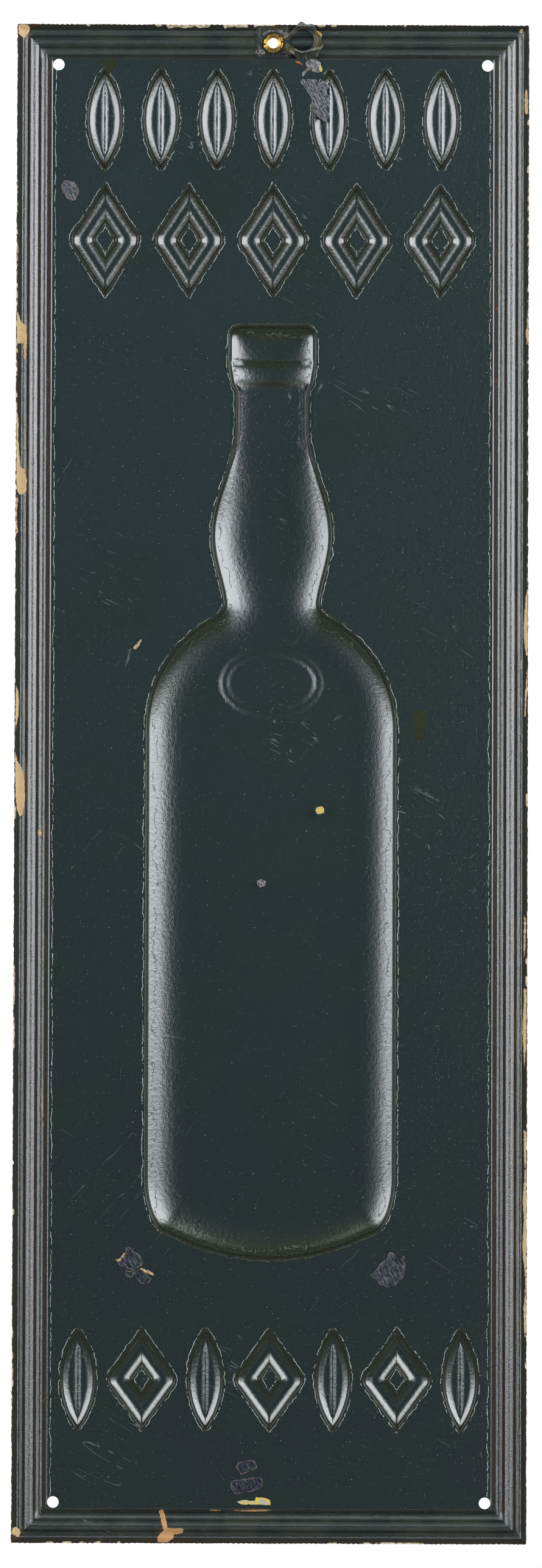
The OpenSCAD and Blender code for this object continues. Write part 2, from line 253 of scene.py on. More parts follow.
def outward(loop):
    """Unit normals of a closed loop, pointing out of it."""
    along = np.roll(loop, -1, axis=0) - np.roll(loop, 1, axis=0)
    normal = np.transpose([along[:, 1], -along[:, 0]]) / np.hypot(along[:, 0], along[:, 1])[:, None]
    area = np.sum(loop[:, 0] * np.roll(loop[:, 1], -1) - loop[:, 1] * np.roll(loop[:, 0], -1))
    return normal if area > 0 else -normal


def mirrored(half):
    """A closed outline from its half at x of 0 or more, top to bottom."""
    return np.concatenate([half, half[-2:0:-1] * (-1, 1)])


def arc(cx, cz, rx, rz, start, stop, count):
    """Points along an arc of an ellipse, in degrees."""
    a = np.radians(np.linspace(start, stop, count))
    return np.transpose([cx + rx * np.cos(a), cz + rz * np.sin(a)])


def bottle_loop(count):
    """The bottle's outline: lip, a sine-squared neck and bulb, then arcs for shoulder, heel and base."""
    t = np.linspace(0, 1, 25)
    crown_z = BOTTLE_BOTTOM + CROWN_R
    heel_low = crown_z - math.sqrt(CROWN_R ** 2 - HEEL_HALF ** 2)
    crown_turn = math.degrees(math.asin(HEEL_HALF / CROWN_R))
    neck = NECK_HALF + (BULB_HALF - NECK_HALF) * np.sin(t * math.pi / 2) ** 2
    pinch = BULB_HALF - PINCH_IN * np.sin(t[1:] * math.radians(80)) ** 2
    return even_loop(mirrored(np.concatenate([
        [(0, BOTTLE_TOP)],
        arc(LIP_HALF - LIP_R, BOTTLE_TOP - LIP_R, LIP_R, LIP_R, 90, 0, 12),
        [(LIP_HALF, 136.5), (LIP_HALF - 1.1, 130.5), (NECK_HALF, 129)],
        np.transpose([neck, NECK_BOTTOM + (BULB_Z - NECK_BOTTOM) * t]),
        np.transpose([pinch, BULB_Z + (PINCH_Z - BULB_Z) * t[1:]]),
        arc(0, SHOULDER_Z, BODY_HALF, BODY_HALF, 65, 0, 30),
        arc(HEEL_HALF, HEEL_Z, BODY_HALF - HEEL_HALF, HEEL_Z - heel_low, 0, -90, 16),
        arc(0, crown_z, CROWN_R, CROWN_R, crown_turn - 90, -90, 12)])), count, 0.8)


def distance_in(loop, points):
    """Distance of points from a closed loop, positive inside: nearest segment, and a count of crossings."""
    a, b = loop, np.roll(loop, -1, axis=0)
    along = b - a
    length2 = np.sum(along * along, axis=1)
    out = np.empty(len(points))
    for k in range(0, len(points), 2000):
        p = points[k:k + 2000, None, :]
        t = np.clip(np.sum((p - a) * along, axis=2) / length2, 0, 1)
        gap = p - a - t[..., None] * along
        near = np.sqrt(np.min(np.sum(gap * gap, axis=2), axis=1))
        spans = (a[:, 1] > p[..., 1]) != (b[:, 1] > p[..., 1])
        cross = a[:, 0] + (p[..., 1] - a[:, 1]) * along[:, 0] / np.where(along[:, 1] == 0, 1e-9, along[:, 1])
        inside = np.sum(spans & (p[..., 0] < cross), axis=1) % 2 == 1
        out[k:k + 2000] = np.where(inside, near, -near)
    return out


def inside(loop, points):
    """True for the points inside a closed loop."""
    return distance_in(loop, points) > 0


def grid_faces(rows, columns, closed=True):
    """Triangles of a grid of rows by columns, whose columns may close round."""
    r, c = np.meshgrid(np.arange(rows - 1), np.arange(columns if closed else columns - 1), indexing="ij")
    a = (r * columns + c).ravel()
    b = (r * columns + (c + 1) % columns).ravel()
    return np.concatenate([np.transpose([a, b, b + columns]), np.transpose([a, b + columns, a + columns])])


def triangulate(loops, inner, keep):
    """Triangles through closed loops and inner points; keep says which of their middles stay."""
    points = np.concatenate(list(loops) + [inner])
    starts = np.cumsum([0] + [len(loop) for loop in loops])
    edges = [
        (int(start + i), int(start + (i + 1) % len(loop)))
        for start, loop in zip(starts, loops) for i in range(len(loop))]
    made, _, faces, origin, _, _ = delaunay_2d_cdt([Vector(p) for p in points], edges, [], 0, 1e-5)
    places = np.array([points[o[0]] if o else tuple(v) for v, o in zip(made, origin)])
    faces = np.array(faces)
    return places, faces[keep(places[faces].mean(axis=1))]


def weld(points, faces, values):
    """Joins points that share a place and drops the faces that lose a corner."""
    cells = np.round(points / WELD).astype(int)
    _, first, index = np.unique(cells, axis=0, return_index=True, return_inverse=True)
    faces = index.reshape(-1)[faces]
    whole = (faces[:, 0] != faces[:, 1]) & (faces[:, 1] != faces[:, 2]) & (faces[:, 2] != faces[:, 0])
    return points[first], faces[whole], {name: value[first] for name, value in values.items()}


def join(parts):
    """One set of points, faces and values from several."""
    offsets = np.cumsum([0] + [len(points) for points, _, _ in parts])
    return (
        np.concatenate([points for points, _, _ in parts]),
        np.concatenate([faces + offset for (_, faces, _), offset in zip(parts, offsets)]),
        {name: np.concatenate([values[name] for _, _, values in parts]) for name in parts[0][2]})


def turned_back(points, faces):
    """Faces turned so that they look out of the back, towards +Y."""
    a, b, c = points[faces[:, 0]], points[faces[:, 1]], points[faces[:, 2]]
    y = (b - a)[:, 2] * (c - a)[:, 0] - (b - a)[:, 0] * (c - a)[:, 2]
    return np.where((y < 0)[:, None], faces[:, ::-1], faces), np.abs(y)


def dull_places(points, faces, values):
    """True for steep faces and those at the seat or along the creases of the relief."""
    tilt = np.cross(points[faces[:, 1]] - points[faces[:, 0]], points[faces[:, 2]] - points[faces[:, 0]])
    dull = np.abs(tilt[:, 1]) < STEEP * np.linalg.norm(tilt, axis=1)
    middle = points[faces].mean(axis=1)
    dull |= (np.abs(middle[:, 0]) < SEAT_HALF + SEAT_RUN + 0.3) & (middle[:, 2] > HALF_H - BORDER_IN)
    if "edge" in values:
        inset = values["edge"][faces].mean(axis=1)
        dull |= np.abs(inset - 0.1) < 0.45
        z = middle[:, 2]
        dull |= (np.abs(inset) < 1.6 * ramp(z, BULB_Z + 12, BULB_Z + 36)) & (z < LIP_FOOT_Z + 1)
    return dull


def sheet(points, faces, values, thickness=SHEET_T):
    """A closed sheet: the back skin, the same skin one thickness in front, and walls along open edges.

    Materials: 0 for the back, 1 for the front, 2 for the back's steep parts, creases and seat."""
    points, faces, values = weld(points, faces, values)
    faces, area = turned_back(points, faces)
    faces = faces[area > 1e-9]
    n = len(points)
    a = faces.ravel()
    b = np.roll(faces, -1, axis=1).ravel()
    rim = ~np.isin(a * n + b, b * n + a)
    a, b = a[rim], b[rim]
    walls = np.concatenate([np.transpose([b, a, a + n]), np.transpose([b, a + n, b + n])])
    both = np.concatenate([points, points - (0, thickness, 0)])
    dull = dull_places(points, faces, values)
    groups = np.concatenate([dull * 2, np.repeat([0, 1], [len(walls), len(faces)])])
    values = {name: np.concatenate([value, value]) for name, value in values.items()}
    return both, np.concatenate([faces, walls, faces[:, ::-1] + n]), values, groups


def in_scene(name, data):
    """A new object in the scene."""
    made = bpy.data.objects.new(name, data)
    bpy.context.scene.collection.objects.link(made)
    return made


def piece(name, body, node, slot, points, faces, values, groups=None, materials=(), crease=42):
    """A mesh object from millimetre points and triangles, riding on a body in place of a CAD node."""
    mesh = bpy.data.meshes.new(name)
    mesh.from_pydata((points * MM).tolist(), [], faces.tolist())
    for key, value in values.items():
        mesh.attributes.new(key, "FLOAT", "POINT").data.foreach_set("value", np.asarray(value, np.float32))
    for material in materials:
        mesh.materials.append(material)
    if groups is not None:
        mesh.polygons.foreach_set("material_index", groups.astype(np.int32))
    mesh.shade_smooth()
    mesh.set_sharp_from_angle(angle=math.radians(crease))
    mesh.update()
    made = in_scene(name, mesh)
    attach(made, body)
    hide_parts(node)


class Value:
    """A number, place or colour in a shader. Arithmetic adds Math nodes; a | b is the larger of the two."""

    def __init__(self, nodes, socket):
        self.nodes = nodes
        self.socket = socket

    def __add__(self, other):
        return self.nodes.calc("ADD", self, other)

    def __sub__(self, other):
        return self.nodes.calc("SUBTRACT", self, other)

    def __rsub__(self, other):
        return self.nodes.calc("SUBTRACT", other, self)

    def __mul__(self, other):
        return self.nodes.calc("MULTIPLY", self, other)

    def __or__(self, other):
        return self.nodes.calc("MAXIMUM", self, other)

    def __lt__(self, other):
        return self.nodes.calc("LESS_THAN", self, other)

    def __abs__(self):
        return self.nodes.calc("ABSOLUTE", self)

    def step(self, low, high, to_low=0.0, to_high=1.0):
        """A smooth step from low to high."""
        inputs = {0: self, 1: low, 2: high, 3: to_low, 4: to_high}
        return self.nodes.node("MapRange", inputs, interpolation_type="SMOOTHSTEP")

    def near(self, middle, width):
        """1 at the middle, falling to 0 at the width to either side."""
        return abs(self - middle).step(width, 0.0)


class Nodes:
    """A node tree in the making: each method adds a node and returns its result."""

    def __init__(self, owner):
        owner.use_nodes = True
        self.tree = owner.node_tree

    def add(self, kind, inputs, **settings):
        """A new node with its settings and inputs."""
        made = self.tree.nodes.new("ShaderNode" + kind)
        for key, value in settings.items():
            setattr(made, key, value)
        for key, value in inputs.items():
            self.feed(made.inputs[key], value)
        return made

    def feed(self, socket, value):
        """Gives a socket a result of another node, or a plain value."""
        if isinstance(value, Value):
            self.tree.links.new(value.socket, socket)
        else:
            socket.default_value = value

    def node(self, kind, inputs=(), output=0, **settings):
        """One output of a new node."""
        return Value(self, self.add(kind, dict(inputs), **settings).outputs[output])

    def split(self, kind, value):
        """The three parts of a place or a colour."""
        return [Value(self, socket) for socket in self.add(kind, {0: value}).outputs]

    def calc(self, operation, a, b=0.0):
        """The result of a Math node."""
        return self.node("Math", {0: a, 1: b}, operation=operation)

    def stored(self, name):
        """A named value stored on the mesh."""
        return self.node("Attribute", output="Fac", attribute_name=name)

    def seen(self):
        """1 for what the camera sees, straight or in metal and glass, and 0 for light."""
        camera_ray, glossy, transmitted = (
            self.node("LightPath", output=f"Is {ray} Ray") for ray in ("Camera", "Glossy", "Transmission"))
        return camera_ray | glossy | transmitted

    def show(self, kind, inputs, end):
        """Makes a shader the tree's only result."""
        self.feed(self.add(end, {}).inputs["Surface"], self.node(kind, inputs))


def linear(colour):
    """A colour given as screen values up to 255, as the linear values that shaders take."""
    screen = np.array(colour) / 255
    return (*np.where(screen < 0.04045, screen / 12.92, ((screen + 0.055) / 1.055) ** 2.4), 1.0)


class Paint(Nodes):
    """A material with one Principled shader, a colour laid on in coats, and noise all through the piece."""

    dims = "3D"

    def __init__(self, name, **sockets):
        self.material = bpy.data.materials.new(name)
        super().__init__(self.material)
        self.shader = self.tree.nodes["Principled BSDF"]
        for key, value in sockets.items():
            self.shader.inputs[key.replace("_", " ")].default_value = value
        self.place = self.node("TexCoord", output="Object")
        self.colour = None

    def noise(self, per_mm, detail=2.0, rough=0.5, place=None):
        """Noise of about 0 to 1, with so many features to a millimetre."""
        inputs = {"Vector": place or self.place, "Scale": per_mm / MM, "Detail": detail, "Roughness": rough}
        return self.node("TexNoise", inputs, normalize=True, noise_dimensions=self.dims)

    def mix(self, factor, a, b):
        """Colour a where the factor is 0, b where it is 1; colours are results or screen values."""
        a, b = (linear(colour) if isinstance(colour, tuple) else colour for colour in (a, b))
        return self.node("Mix", {0: factor, 6: a, 7: b}, output=2, data_type="RGBA")

    def lay(self, cover, tint):
        """Lays a colour over what is there, as far as the cover says."""
        self.colour = self.mix(cover, self.colour, tint)

    def finish(self, relief, height, rough=None):
        """Gives the shader its colour, a bump with its full height in millimetres, and its roughness."""
        bump = self.node("Bump", {"Height": relief, "Distance": height * MM, "Strength": 1.0})
        for key, value in (("Normal", bump), ("Base Color", self.colour), ("Roughness", rough)):
            if value is not None:
                self.feed(self.shader.inputs[key], value)
        return self.material


class SheetPaint(Paint):
    """A material on the sheet, with the places that it can read, all in millimetres. Its noise is flat."""

    dims = "2D"

    def __init__(self, name, **sockets):
        super().__init__(name, **sockets)
        x, _, z = self.split("SeparateXYZ", self.place)
        self.place = self.node("CombineXYZ", {0: x, 1: z})
        self.x, self.z = x * (1 / MM), z * (1 / MM)
        self.across, self.up = HALF_W - abs(self.x), HALF_H - abs(self.z)
        self.inset = self.calc("MINIMUM", self.across, self.up)
        self.form = self.stored("edge")

    def drawn(self, a, per_a, b, per_b):
        """A place for noise from two values, with so many features to a millimetre of each."""
        return self.node("CombineXYZ", {0: a * (per_a * MM), 1: b * (per_b * MM)})

    def slanted(self, degrees, along, across):
        """A place for noise on a slant, with so many features to a millimetre along it and across it."""
        cos, sin = math.cos(math.radians(degrees)), math.sin(math.radians(degrees))
        return self.drawn(self.x * cos + self.z * sin, along, self.z * cos - self.x * sin, across)

    def specks(self, per_mm, size, share):
        """Scattered round specks: one to a cell, of a size in millimetres, in a share of the cells."""
        cells = self.add("TexVoronoi", {"Vector": self.place, "Scale": per_mm / MM}, voronoi_dimensions="2D")
        chance, scale, _ = self.split("SeparateColor", Value(self, cells.outputs["Color"]))
        beyond = Value(self, cells.outputs["Distance"]) - scale * (size * per_mm)
        return beyond.step(0.01, -0.01) * (chance < share)


class BackPaint(SheetPaint):
    """Dark slate-green dipped paint, glossy and mottled: olive in pools, brown painted as shade on steep
    walls, and rusty brown on the rim.
    """

    def __init__(self, name, ior):
        super().__init__(name, IOR=ior)
        tilt_x, _, tilt_z = self.split("SeparateXYZ", self.node("TexCoord", output="Normal"))
        self.tilt_x, self.tilt_z = abs(tilt_x), abs(tilt_z)
        self.pooling = self.stored("pool")
        self.grain = self.noise(3.2, 2, 0.6)
        self.fine = self.noise(1.3, 3, 0.6)
        self.drift = self.noise(0.12, 2)
        self.patchy = self.noise(0.07, 3, 0.6)
        self.broken = self.noise(0.35, 3, 0.7).step(0.42, 0.48)
        self.at_side = self.across < self.up
        along = self.node("Mix", {0: self.up < self.across, 2: self.z, 3: self.x}, data_type="FLOAT")
        self.streak = self.noise(1.0, 3, 0.6, self.drawn(self.inset, 3.0, along, 0.45))
        self.moulding = self.inset.step(BORDER_IN + 0.2, BORDER_IN - 0.2)
        self.ground()
        self.walls()
        self.pools()
        self.films()
        self.creases()
        self.marks()
        self.edges()
        rough = self.level * self.moulding * 0.22 + (self.fine * 0.1 + 0.14)
        worn = self.rusty | self.dust | self.outermost * 0.6
        self.finish(self.relief(), 1, worn * 0.3 + rough)

    def ground(self):
        """Slate green, a little bluer at the top, clouded and specked."""
        self.colour = self.mix(self.z.step(-HALF_H, HALF_H), (30, 42, 43), (33, 49, 50))
        self.lay(self.noise(0.03, 3).step(0.35, 0.75, 0, 0.6), (29, 46, 42))
        self.lay(self.grain.step(0.5, 0.8, 0, 0.35), (54, 64, 62))

    def walls(self):
        """Painted shade by facing: walls that look sideways are painted brown, and those that look up or down
        a dull olive-grey, as light from the sides and from above and below falls on them.
        """
        brown = self.mix(self.moulding, self.mix(self.grain, (58, 62, 50), (24, 30, 26)),
                         self.mix(self.grain, (76, 66, 56), (34, 31, 28)))
        # painted shade: brown where a wall faces sideways
        self.lay(self.tilt_x.step(0.35, 0.75, 0, 0.8), brown)
        dull = self.mix(self.grain.step(0.4, 0.62), (70, 76, 64), (34, 37, 32))
        self.dull = self.mix(self.patchy.step(0.42, 0.6), dull, (38, 46, 44))
        olive = self.mix(self.grain.step(0.42, 0.6), (52, 60, 42), (36, 41, 31))
        # painted light and shade: olive on the relief and dull grey on the moulding where a wall faces up or
        # down
        self.level = (self.fine * 0.3 + self.tilt_z).step(0.22, 0.45, 0, 0.85)
        self.lay(self.level, self.mix(self.moulding, olive, self.dull))
        rust = self.inset.near(BORDER_IN - 0.95, 0.7) * self.streak.step(0.58, 0.68)
        self.lay(rust * self.patchy.step(0.5, 0.56) * 0.75, (140, 92, 46))

    def pools(self):
        """Paint that pooled outside the level edges of the relief and just inside them."""
        outside = (self.form + (self.drift * 3.4 + -1.9)).step(-1.6, -1.2) * self.form.step(1.0, 0.2)
        within = self.form.step(0.2, 0.6) * (self.drift * 7.0 + self.form).step(7.2, 6.0)
        self.pool = outside * self.pooling | within * self.pooling
        puddle = self.mix(self.fine.step(0.42, 0.58), (32, 42, 33), (56, 64, 44))
        self.lay(self.pool * self.grain.step(0.2, 0.5, 0.45, 0.8), puddle)

    def films(self):
        """Edges of paint films: thin raised lines a little off the creases and along the border's sides,
        coloured pale as a painted highlight.
        """
        side = self.across.near(self.noise(0.13, 5, 0.75) * 1.9 + 11.9, 0.11)
        shift = self.noise(0.2, 4, 0.7) * 0.4 + -0.2
        for inset in (2.05, 9.6):
            side = side | self.across.near(shift + inset, 0.13)
        ring = self.form.near(self.noise(0.25, 5, 0.7) * 1.8 + -1.75, 0.13)
        self.film_edge_and_glint = side * self.broken * self.at_side | ring * self.broken * self.pooling.step(1.3, 0.2)
        # painted highlight: the raised film edges are coloured pale, as if catching the light
        self.lay(self.film_edge_and_glint * 0.7, self.mix(self.drift.step(0.52, 0.6), (196, 202, 196), (150, 158, 84)))

    def creases(self):
        """Painted shade along the creases where the forms begin, a dark fold line inside the bottle, a dark
        line along the crest painted as the flat crest's dark reflection, and the dull seat.
        """
        # painted shade in the creases where the forms begin
        crease = self.mix(self.grain.step(0.4, 0.6), (50, 54, 42), (26, 30, 26))
        self.lay(self.form.near(0.0, 0.9) * 0.8, crease)
        fold = self.form.near(self.noise(0.11, 5, 0.7) * 8.0 + -1.2, 0.14) * self.broken
        self.fold = fold * self.form.step(1.0, 1.3) * (abs(self.z) < FOLDS_END)
        self.lay(self.fold * 0.8, (18, 26, 27))
        # painted dark reflection along the moulding's flat crest, over a shallow groove in the bump
        crest_at = self.noise(0.28, 4, 0.7) * 1.3 + (CREST_IN - 0.65)
        self.crest = self.across.near(crest_at, 0.22) * self.at_side
        self.lay(self.crest * 0.8, (16, 22, 24))
        seat = abs(self.x).step(8.5, 5.5) * self.z.step(SEAT_FOOT - 1, SEAT_FOOT + 1)
        self.lay(seat * 0.8, self.dull)

    def marks(self):
        """Pale dust, hair scratches on two slants, and dark pits."""
        dust = self.specks(0.25, 0.12, 0.35) | self.specks(0.9, 0.075, 0.3)
        self.dust = dust * self.noise(4.5, 2).step(0.42, 0.52)
        self.lay(self.dust * 0.75, (176, 184, 176))
        for slant, patches in ((34, 0.019), (118, 0.027)):
            hair = self.noise(1.0, 2, place=self.slanted(slant, 0.12, 0.012)).near(0.5, 0.007)
            hair = hair * self.noise(patches, 2).step(0.6, 0.68) * self.noise(0.2, 3).step(0.5, 0.56)
            self.lay(hair * 0.35, (150, 156, 154))
        self.pits = self.specks(0.4, 0.16, 0.25) | self.specks(2.1, 0.13, 0.4) * self.moulding
        self.lay(self.pits * 0.6, (18, 24, 24))

    def edges(self):
        """The outermost wall is painted nearly black as shade, and the rim has rusted under the paint, most
        at the foot.
        """
        # painted shade on the steep outermost wall
        self.outermost = (self.streak * 0.5 + self.inset).step(2.1, 1.6)
        self.lay(self.outermost * 0.75, self.mix(self.grain, (54, 58, 47), (28, 32, 28)))
        foot = self.z.step(2.5 - HALF_H, 1 - HALF_H) * self.fine.step(0.4, 0.6)
        self.rusty = (self.fine * 1.2 + self.inset).step(1.25, 0.9) | foot
        self.lay(self.rusty * 0.8, self.mix(self.grain, (70, 52, 36), (36, 31, 26)))

    def relief(self):
        """The height of all that stands on the paint or is sunk in it, in millimetres."""
        relief = self.grain * 0.02 + self.noise(0.18, 2) * 0.03
        peel = self.noise(0.8, 2, 0.55) * self.inset.step(BORDER_IN - 1, BORDER_IN)
        crumbs = self.noise(1.6, 4, 0.7) * self.moulding
        for what, height in (
                (peel, 0.045), (self.fold, -0.06), (self.film_edge_and_glint, 0.05), (self.crest, -0.15),
                (self.streak * self.moulding, 0.045), (crumbs, 0.06), (self.dust, 0.04), (self.pits, -0.09),
                (self.pool, 0.02)):
            relief = what * height + relief
        return relief


def edge_metal():
    """The worn edge of the sheet: dark rust, and pale undercoat in the chips."""
    paint = Paint("sheet_edge", Roughness=0.6, IOR=1.45)
    grain, blots = paint.noise(2.4, 3, 0.6), paint.noise(0.8, 2, 0.5)
    paint.colour = paint.mix(grain.step(0.42, 0.6), (34, 29, 25), (84, 62, 44))
    cream = paint.mix(blots.step(0.42, 0.62), (222, 210, 180), (176, 154, 112))
    paint.lay((grain * 0.12 + paint.stored("chip")).step(0.13, 0.2), cream)
    return paint.finish(grain, 0.08)


def bare_tin():
    """Tin where the paint came off: dull, with fine scratches and a broken pale rim."""
    paint = SheetPaint("bare_tin", IOR=1.3)
    scratch = paint.noise(1.0, 3, 0.65, paint.slanted(58, 0.35, 3.2))
    blots, grain = paint.noise(0.45, 3, 0.6), paint.noise(3.0, 2, 0.6)
    speckle = (paint.noise(1.2, 4, 0.75) * 0.45 + scratch * 0.55).step(0.42, 0.58)
    dark = paint.mix(blots * speckle, (16, 19, 27), (88, 92, 104))
    paint.colour = paint.mix(paint.stored("tone"), dark, paint.mix(speckle, (60, 62, 70), (156, 157, 158)))
    paint.lay(scratch.step(0.56, 0.68, 0, 0.35), (120, 122, 130))
    paint.lay(scratch.step(0.46, 0.36, 0, 0.5), (22, 24, 30))
    paint.lay(paint.stored("rim").step(0.2, 0.06) * blots.step(0.4, 0.52) * 0.55, (170, 152, 118))
    return paint.finish(scratch, 0.02, grain * 0.2 + 0.3)


def undercoat():
    """Pale undercoat bared by chips: cream, tan, yellow or rusty by its tone."""
    paint = SheetPaint("undercoat", Roughness=0.5, IOR=1.45)
    tone = paint.stored("tone")
    blots, grain = paint.noise(0.5, 3, 0.6), paint.noise(2.6, 2, 0.6)
    paint.colour = paint.mix(blots, (236, 205, 156), (218, 182, 132))
    paint.lay(tone.step(0.2, 0.35), paint.mix(blots, (214, 170, 118), (190, 142, 92)))
    yellow = paint.mix(paint.noise(0.7, 2).step(0.47, 0.55), (216, 188, 62), (170, 172, 164))
    paint.lay(tone.step(0.5, 0.65), yellow)
    paint.lay(tone.step(0.85, 0.95), paint.mix(grain, (200, 120, 44), (96, 50, 28)))
    paint.lay(grain.step(0.62, 0.7, 0, 0.5), (110, 84, 56))
    paint.lay(tone.near(0.15, 0.1) * grain.step(0.46, 0.54) * 0.85, (52, 46, 40))
    paint.lay(paint.stored("rim").step(0.16, 0.02) * blots.step(0.45, 0.55) * 0.6, (90, 66, 44))
    return paint.finish(blots, 0.05)


def old_film():
    """Stains of old varnish, olive or brown by their tone."""
    paint = SheetPaint("old_film", Roughness=0.22, IOR=1.6)
    blots = paint.noise(0.6, 3, 0.6)
    paint.colour = paint.mix(blots, (38, 44, 30), (54, 58, 34))
    paint.lay(paint.stored("tone"), paint.mix(blots, (48, 36, 16), (80, 58, 30)))
    return paint.finish(blots, 0.04)


def brass():
    """Gilt brass, worn bright on the curls, with painted shade and dirt darkening the splits."""
    paint = Paint("brass", Metallic=1.0)
    grain = paint.noise(1.6, 3, 0.6)
    # painted shade and dirt, from the eyelet's stored values
    shade_and_dirt = (grain * 0.7 + paint.stored("shade_and_grime")).step(0.55, 1.0)
    paint.colour = paint.mix(grain, (238, 196, 104), (196, 140, 56))
    paint.lay(shade_and_dirt, (62, 44, 26))
    return paint.finish(grain, 0.05, shade_and_dirt * 0.3 + 0.3)


def hanger_paint():
    """The hanger's dark paint, worn to pale metal on ridges and edges, with gold and olive patches."""
    paint = Paint("hanger_paint", IOR=1.4)
    grain, blots = paint.noise(2.4, 3, 0.65), paint.noise(0.45, 3, 0.6)
    paint.colour = paint.mix(blots.step(0.4, 0.6), (28, 37, 35), (40, 43, 33))
    olive = paint.mix(grain, (58, 60, 38), (92, 82, 46))
    paint.lay(paint.stored("olive") * blots.step(0.35, 0.5), olive)
    pale = (grain * 3.0 + (paint.stored("pale") - 1.5)).step(0.35, 0.75)
    paint.lay(pale * 0.85, paint.mix(grain, (78, 76, 70), (150, 148, 138)))
    gold = (grain * 0.7 + paint.stored("gold")).step(0.65, 0.85)
    paint.lay(gold * 0.85, paint.mix(grain, (204, 168, 92), (150, 118, 56)))
    paint.lay((blots * 0.14 + paint.stored("rim")).step(0.16, 0.1) * 0.45, (146, 138, 120))
    return paint.finish(grain, 0.07, pale * 0.15 + 0.26)


GREEN_INK = (24, 66, 50)
CREAM_INK = (226, 206, 162)
OCHRE_INK = (196, 146, 62)
RED_INK = (132, 46, 36)


def printed_bottle(paint):
    """The bottle's green glass, ochre cap and plain oval seal."""
    glass = paint.mix(paint.form.step(2, 16), (18, 52, 38), (40, 92, 62))
    glass = paint.mix(paint.z.step(128.6, 129.0), glass, OCHRE_INK)
    oval_x, oval_z = paint.x * (1 / SEAL_HALF_W), (paint.z - SEAL_Z) * (1 / SEAL_HALF_H)
    oval = paint.calc("SQRT", oval_x * oval_x + oval_z * oval_z)
    glass = paint.mix(oval.step(1.0, 0.98), glass, OCHRE_INK)
    return paint.mix(oval.step(0.71, 0.69), glass, paint.colour)


def front_print(part):
    """Printed front, a guess: cream ground, green and ochre border, green bottle and plain red ornament."""
    paint = SheetPaint("front_" + part, IOR=1.5)
    cloud, grain = paint.noise(0.035, 4, 0.6), paint.noise(2.6, 3, 0.6)
    printed = paint.form.step(-0.1, 0.1)
    paint.colour = paint.mix(cloud, CREAM_INK, (214, 190, 142))
    if part == "border":
        ridges = abs(paint.inset - CREST_IN).near(GROOVE_IN - 0.3, 1.15)
        paint.colour = paint.mix(ridges, GREEN_INK, OCHRE_INK)
    if part == "bottle":
        paint.lay(printed, printed_bottle(paint))
    if part == "ornament":
        paint.lay(printed, paint.mix(paint.form.step(1.0, 1.1), GREEN_INK, RED_INK))
    paint.lay(paint.noise(0.06, 5, 0.65).step(0.56, 0.72, 0, 0.35), (150, 112, 66))
    rim = (cloud * 2.4 + paint.inset).step(2.3, 1.5)
    rust = rim * 0.8 | paint.specks(0.12, 0.5, 0.14) * grain.step(0.35, 0.5)
    paint.lay(rust, paint.mix(grain, (96, 60, 36), (58, 40, 30)))
    return paint.finish(rust * 0.5 + grain, 0.02, rust * 0.35 + (cloud * 0.15 + 0.24))


BACK = BackPaint("back_paint", 2.25).material
BACK_DULL = BackPaint("back_paint_dull", 1.42).material
FRONT_BORDER, FRONT_FIELD, FRONT_BOTTLE, FRONT_ORNAMENT = (
    front_print(part) for part in ("border", "field", "bottle", "ornament"))
EDGE = edge_metal()
TIN = bare_tin()
CREAM = undercoat()
FILM = old_film()
BRASS = brass()
WORN_TIN = hanger_paint()


def rectangle_columns():
    """Columns round the sheet as places on a unit square, finer beside the seat, without the seat itself."""
    side = np.linspace(-1, 1, 201)[1:-1]
    top = np.linspace(-1, 1, 69)[1:-1]
    gap = SEAT_PATCH / HALF_W
    right_top = np.concatenate([[gap], gap + np.linspace(0.02, 0.06, 3), top[top > gap + 0.08], [1]])
    order = [
        (right_top, np.ones_like(right_top)), (np.ones_like(side), -side), ([1.0], [-1.0]),
        (-top, -np.ones_like(top)), ([-1.0], [-1.0]), (-np.ones_like(side), side),
        (-right_top[::-1], np.ones_like(right_top))]
    return np.concatenate([o[0] for o in order]), np.concatenate([o[1] for o in order])


BORDER_ROWS = np.concatenate([np.linspace(0.35, 11.35, 61), [11.43, BORDER_IN]])
SIDE_ROWS = np.concatenate([BORDER_ROWS[:-2], [11.6, 11.85]])
unit_x, unit_z = rectangle_columns()


def circle(cx, cz, r, count):
    """A closed circle of points."""
    return arc(cx, cz, r, r, 0, 360 * (1 - 1 / count), count)


def placed(flat, level, inset=-3.0, pool=0.0):
    """Points from flat ones and their levels, with what the paint reads: the distance inside a form's
    outline, and how far that outline looks up or down."""
    points = np.transpose([flat[:, 0], level, flat[:, 1]])
    values = {"edge": inset, "pool": pool}
    return points, {name: np.broadcast_to(value, len(points)).astype(float) for name, value in values.items()}


def looks_level(loop, rows):
    """How far each point of an outline looks up or down, from 0 to 1, for as many rings of it."""
    return np.tile(ramp(np.abs(outward(loop)[:, 1]), 0.55, 0.95), rows)


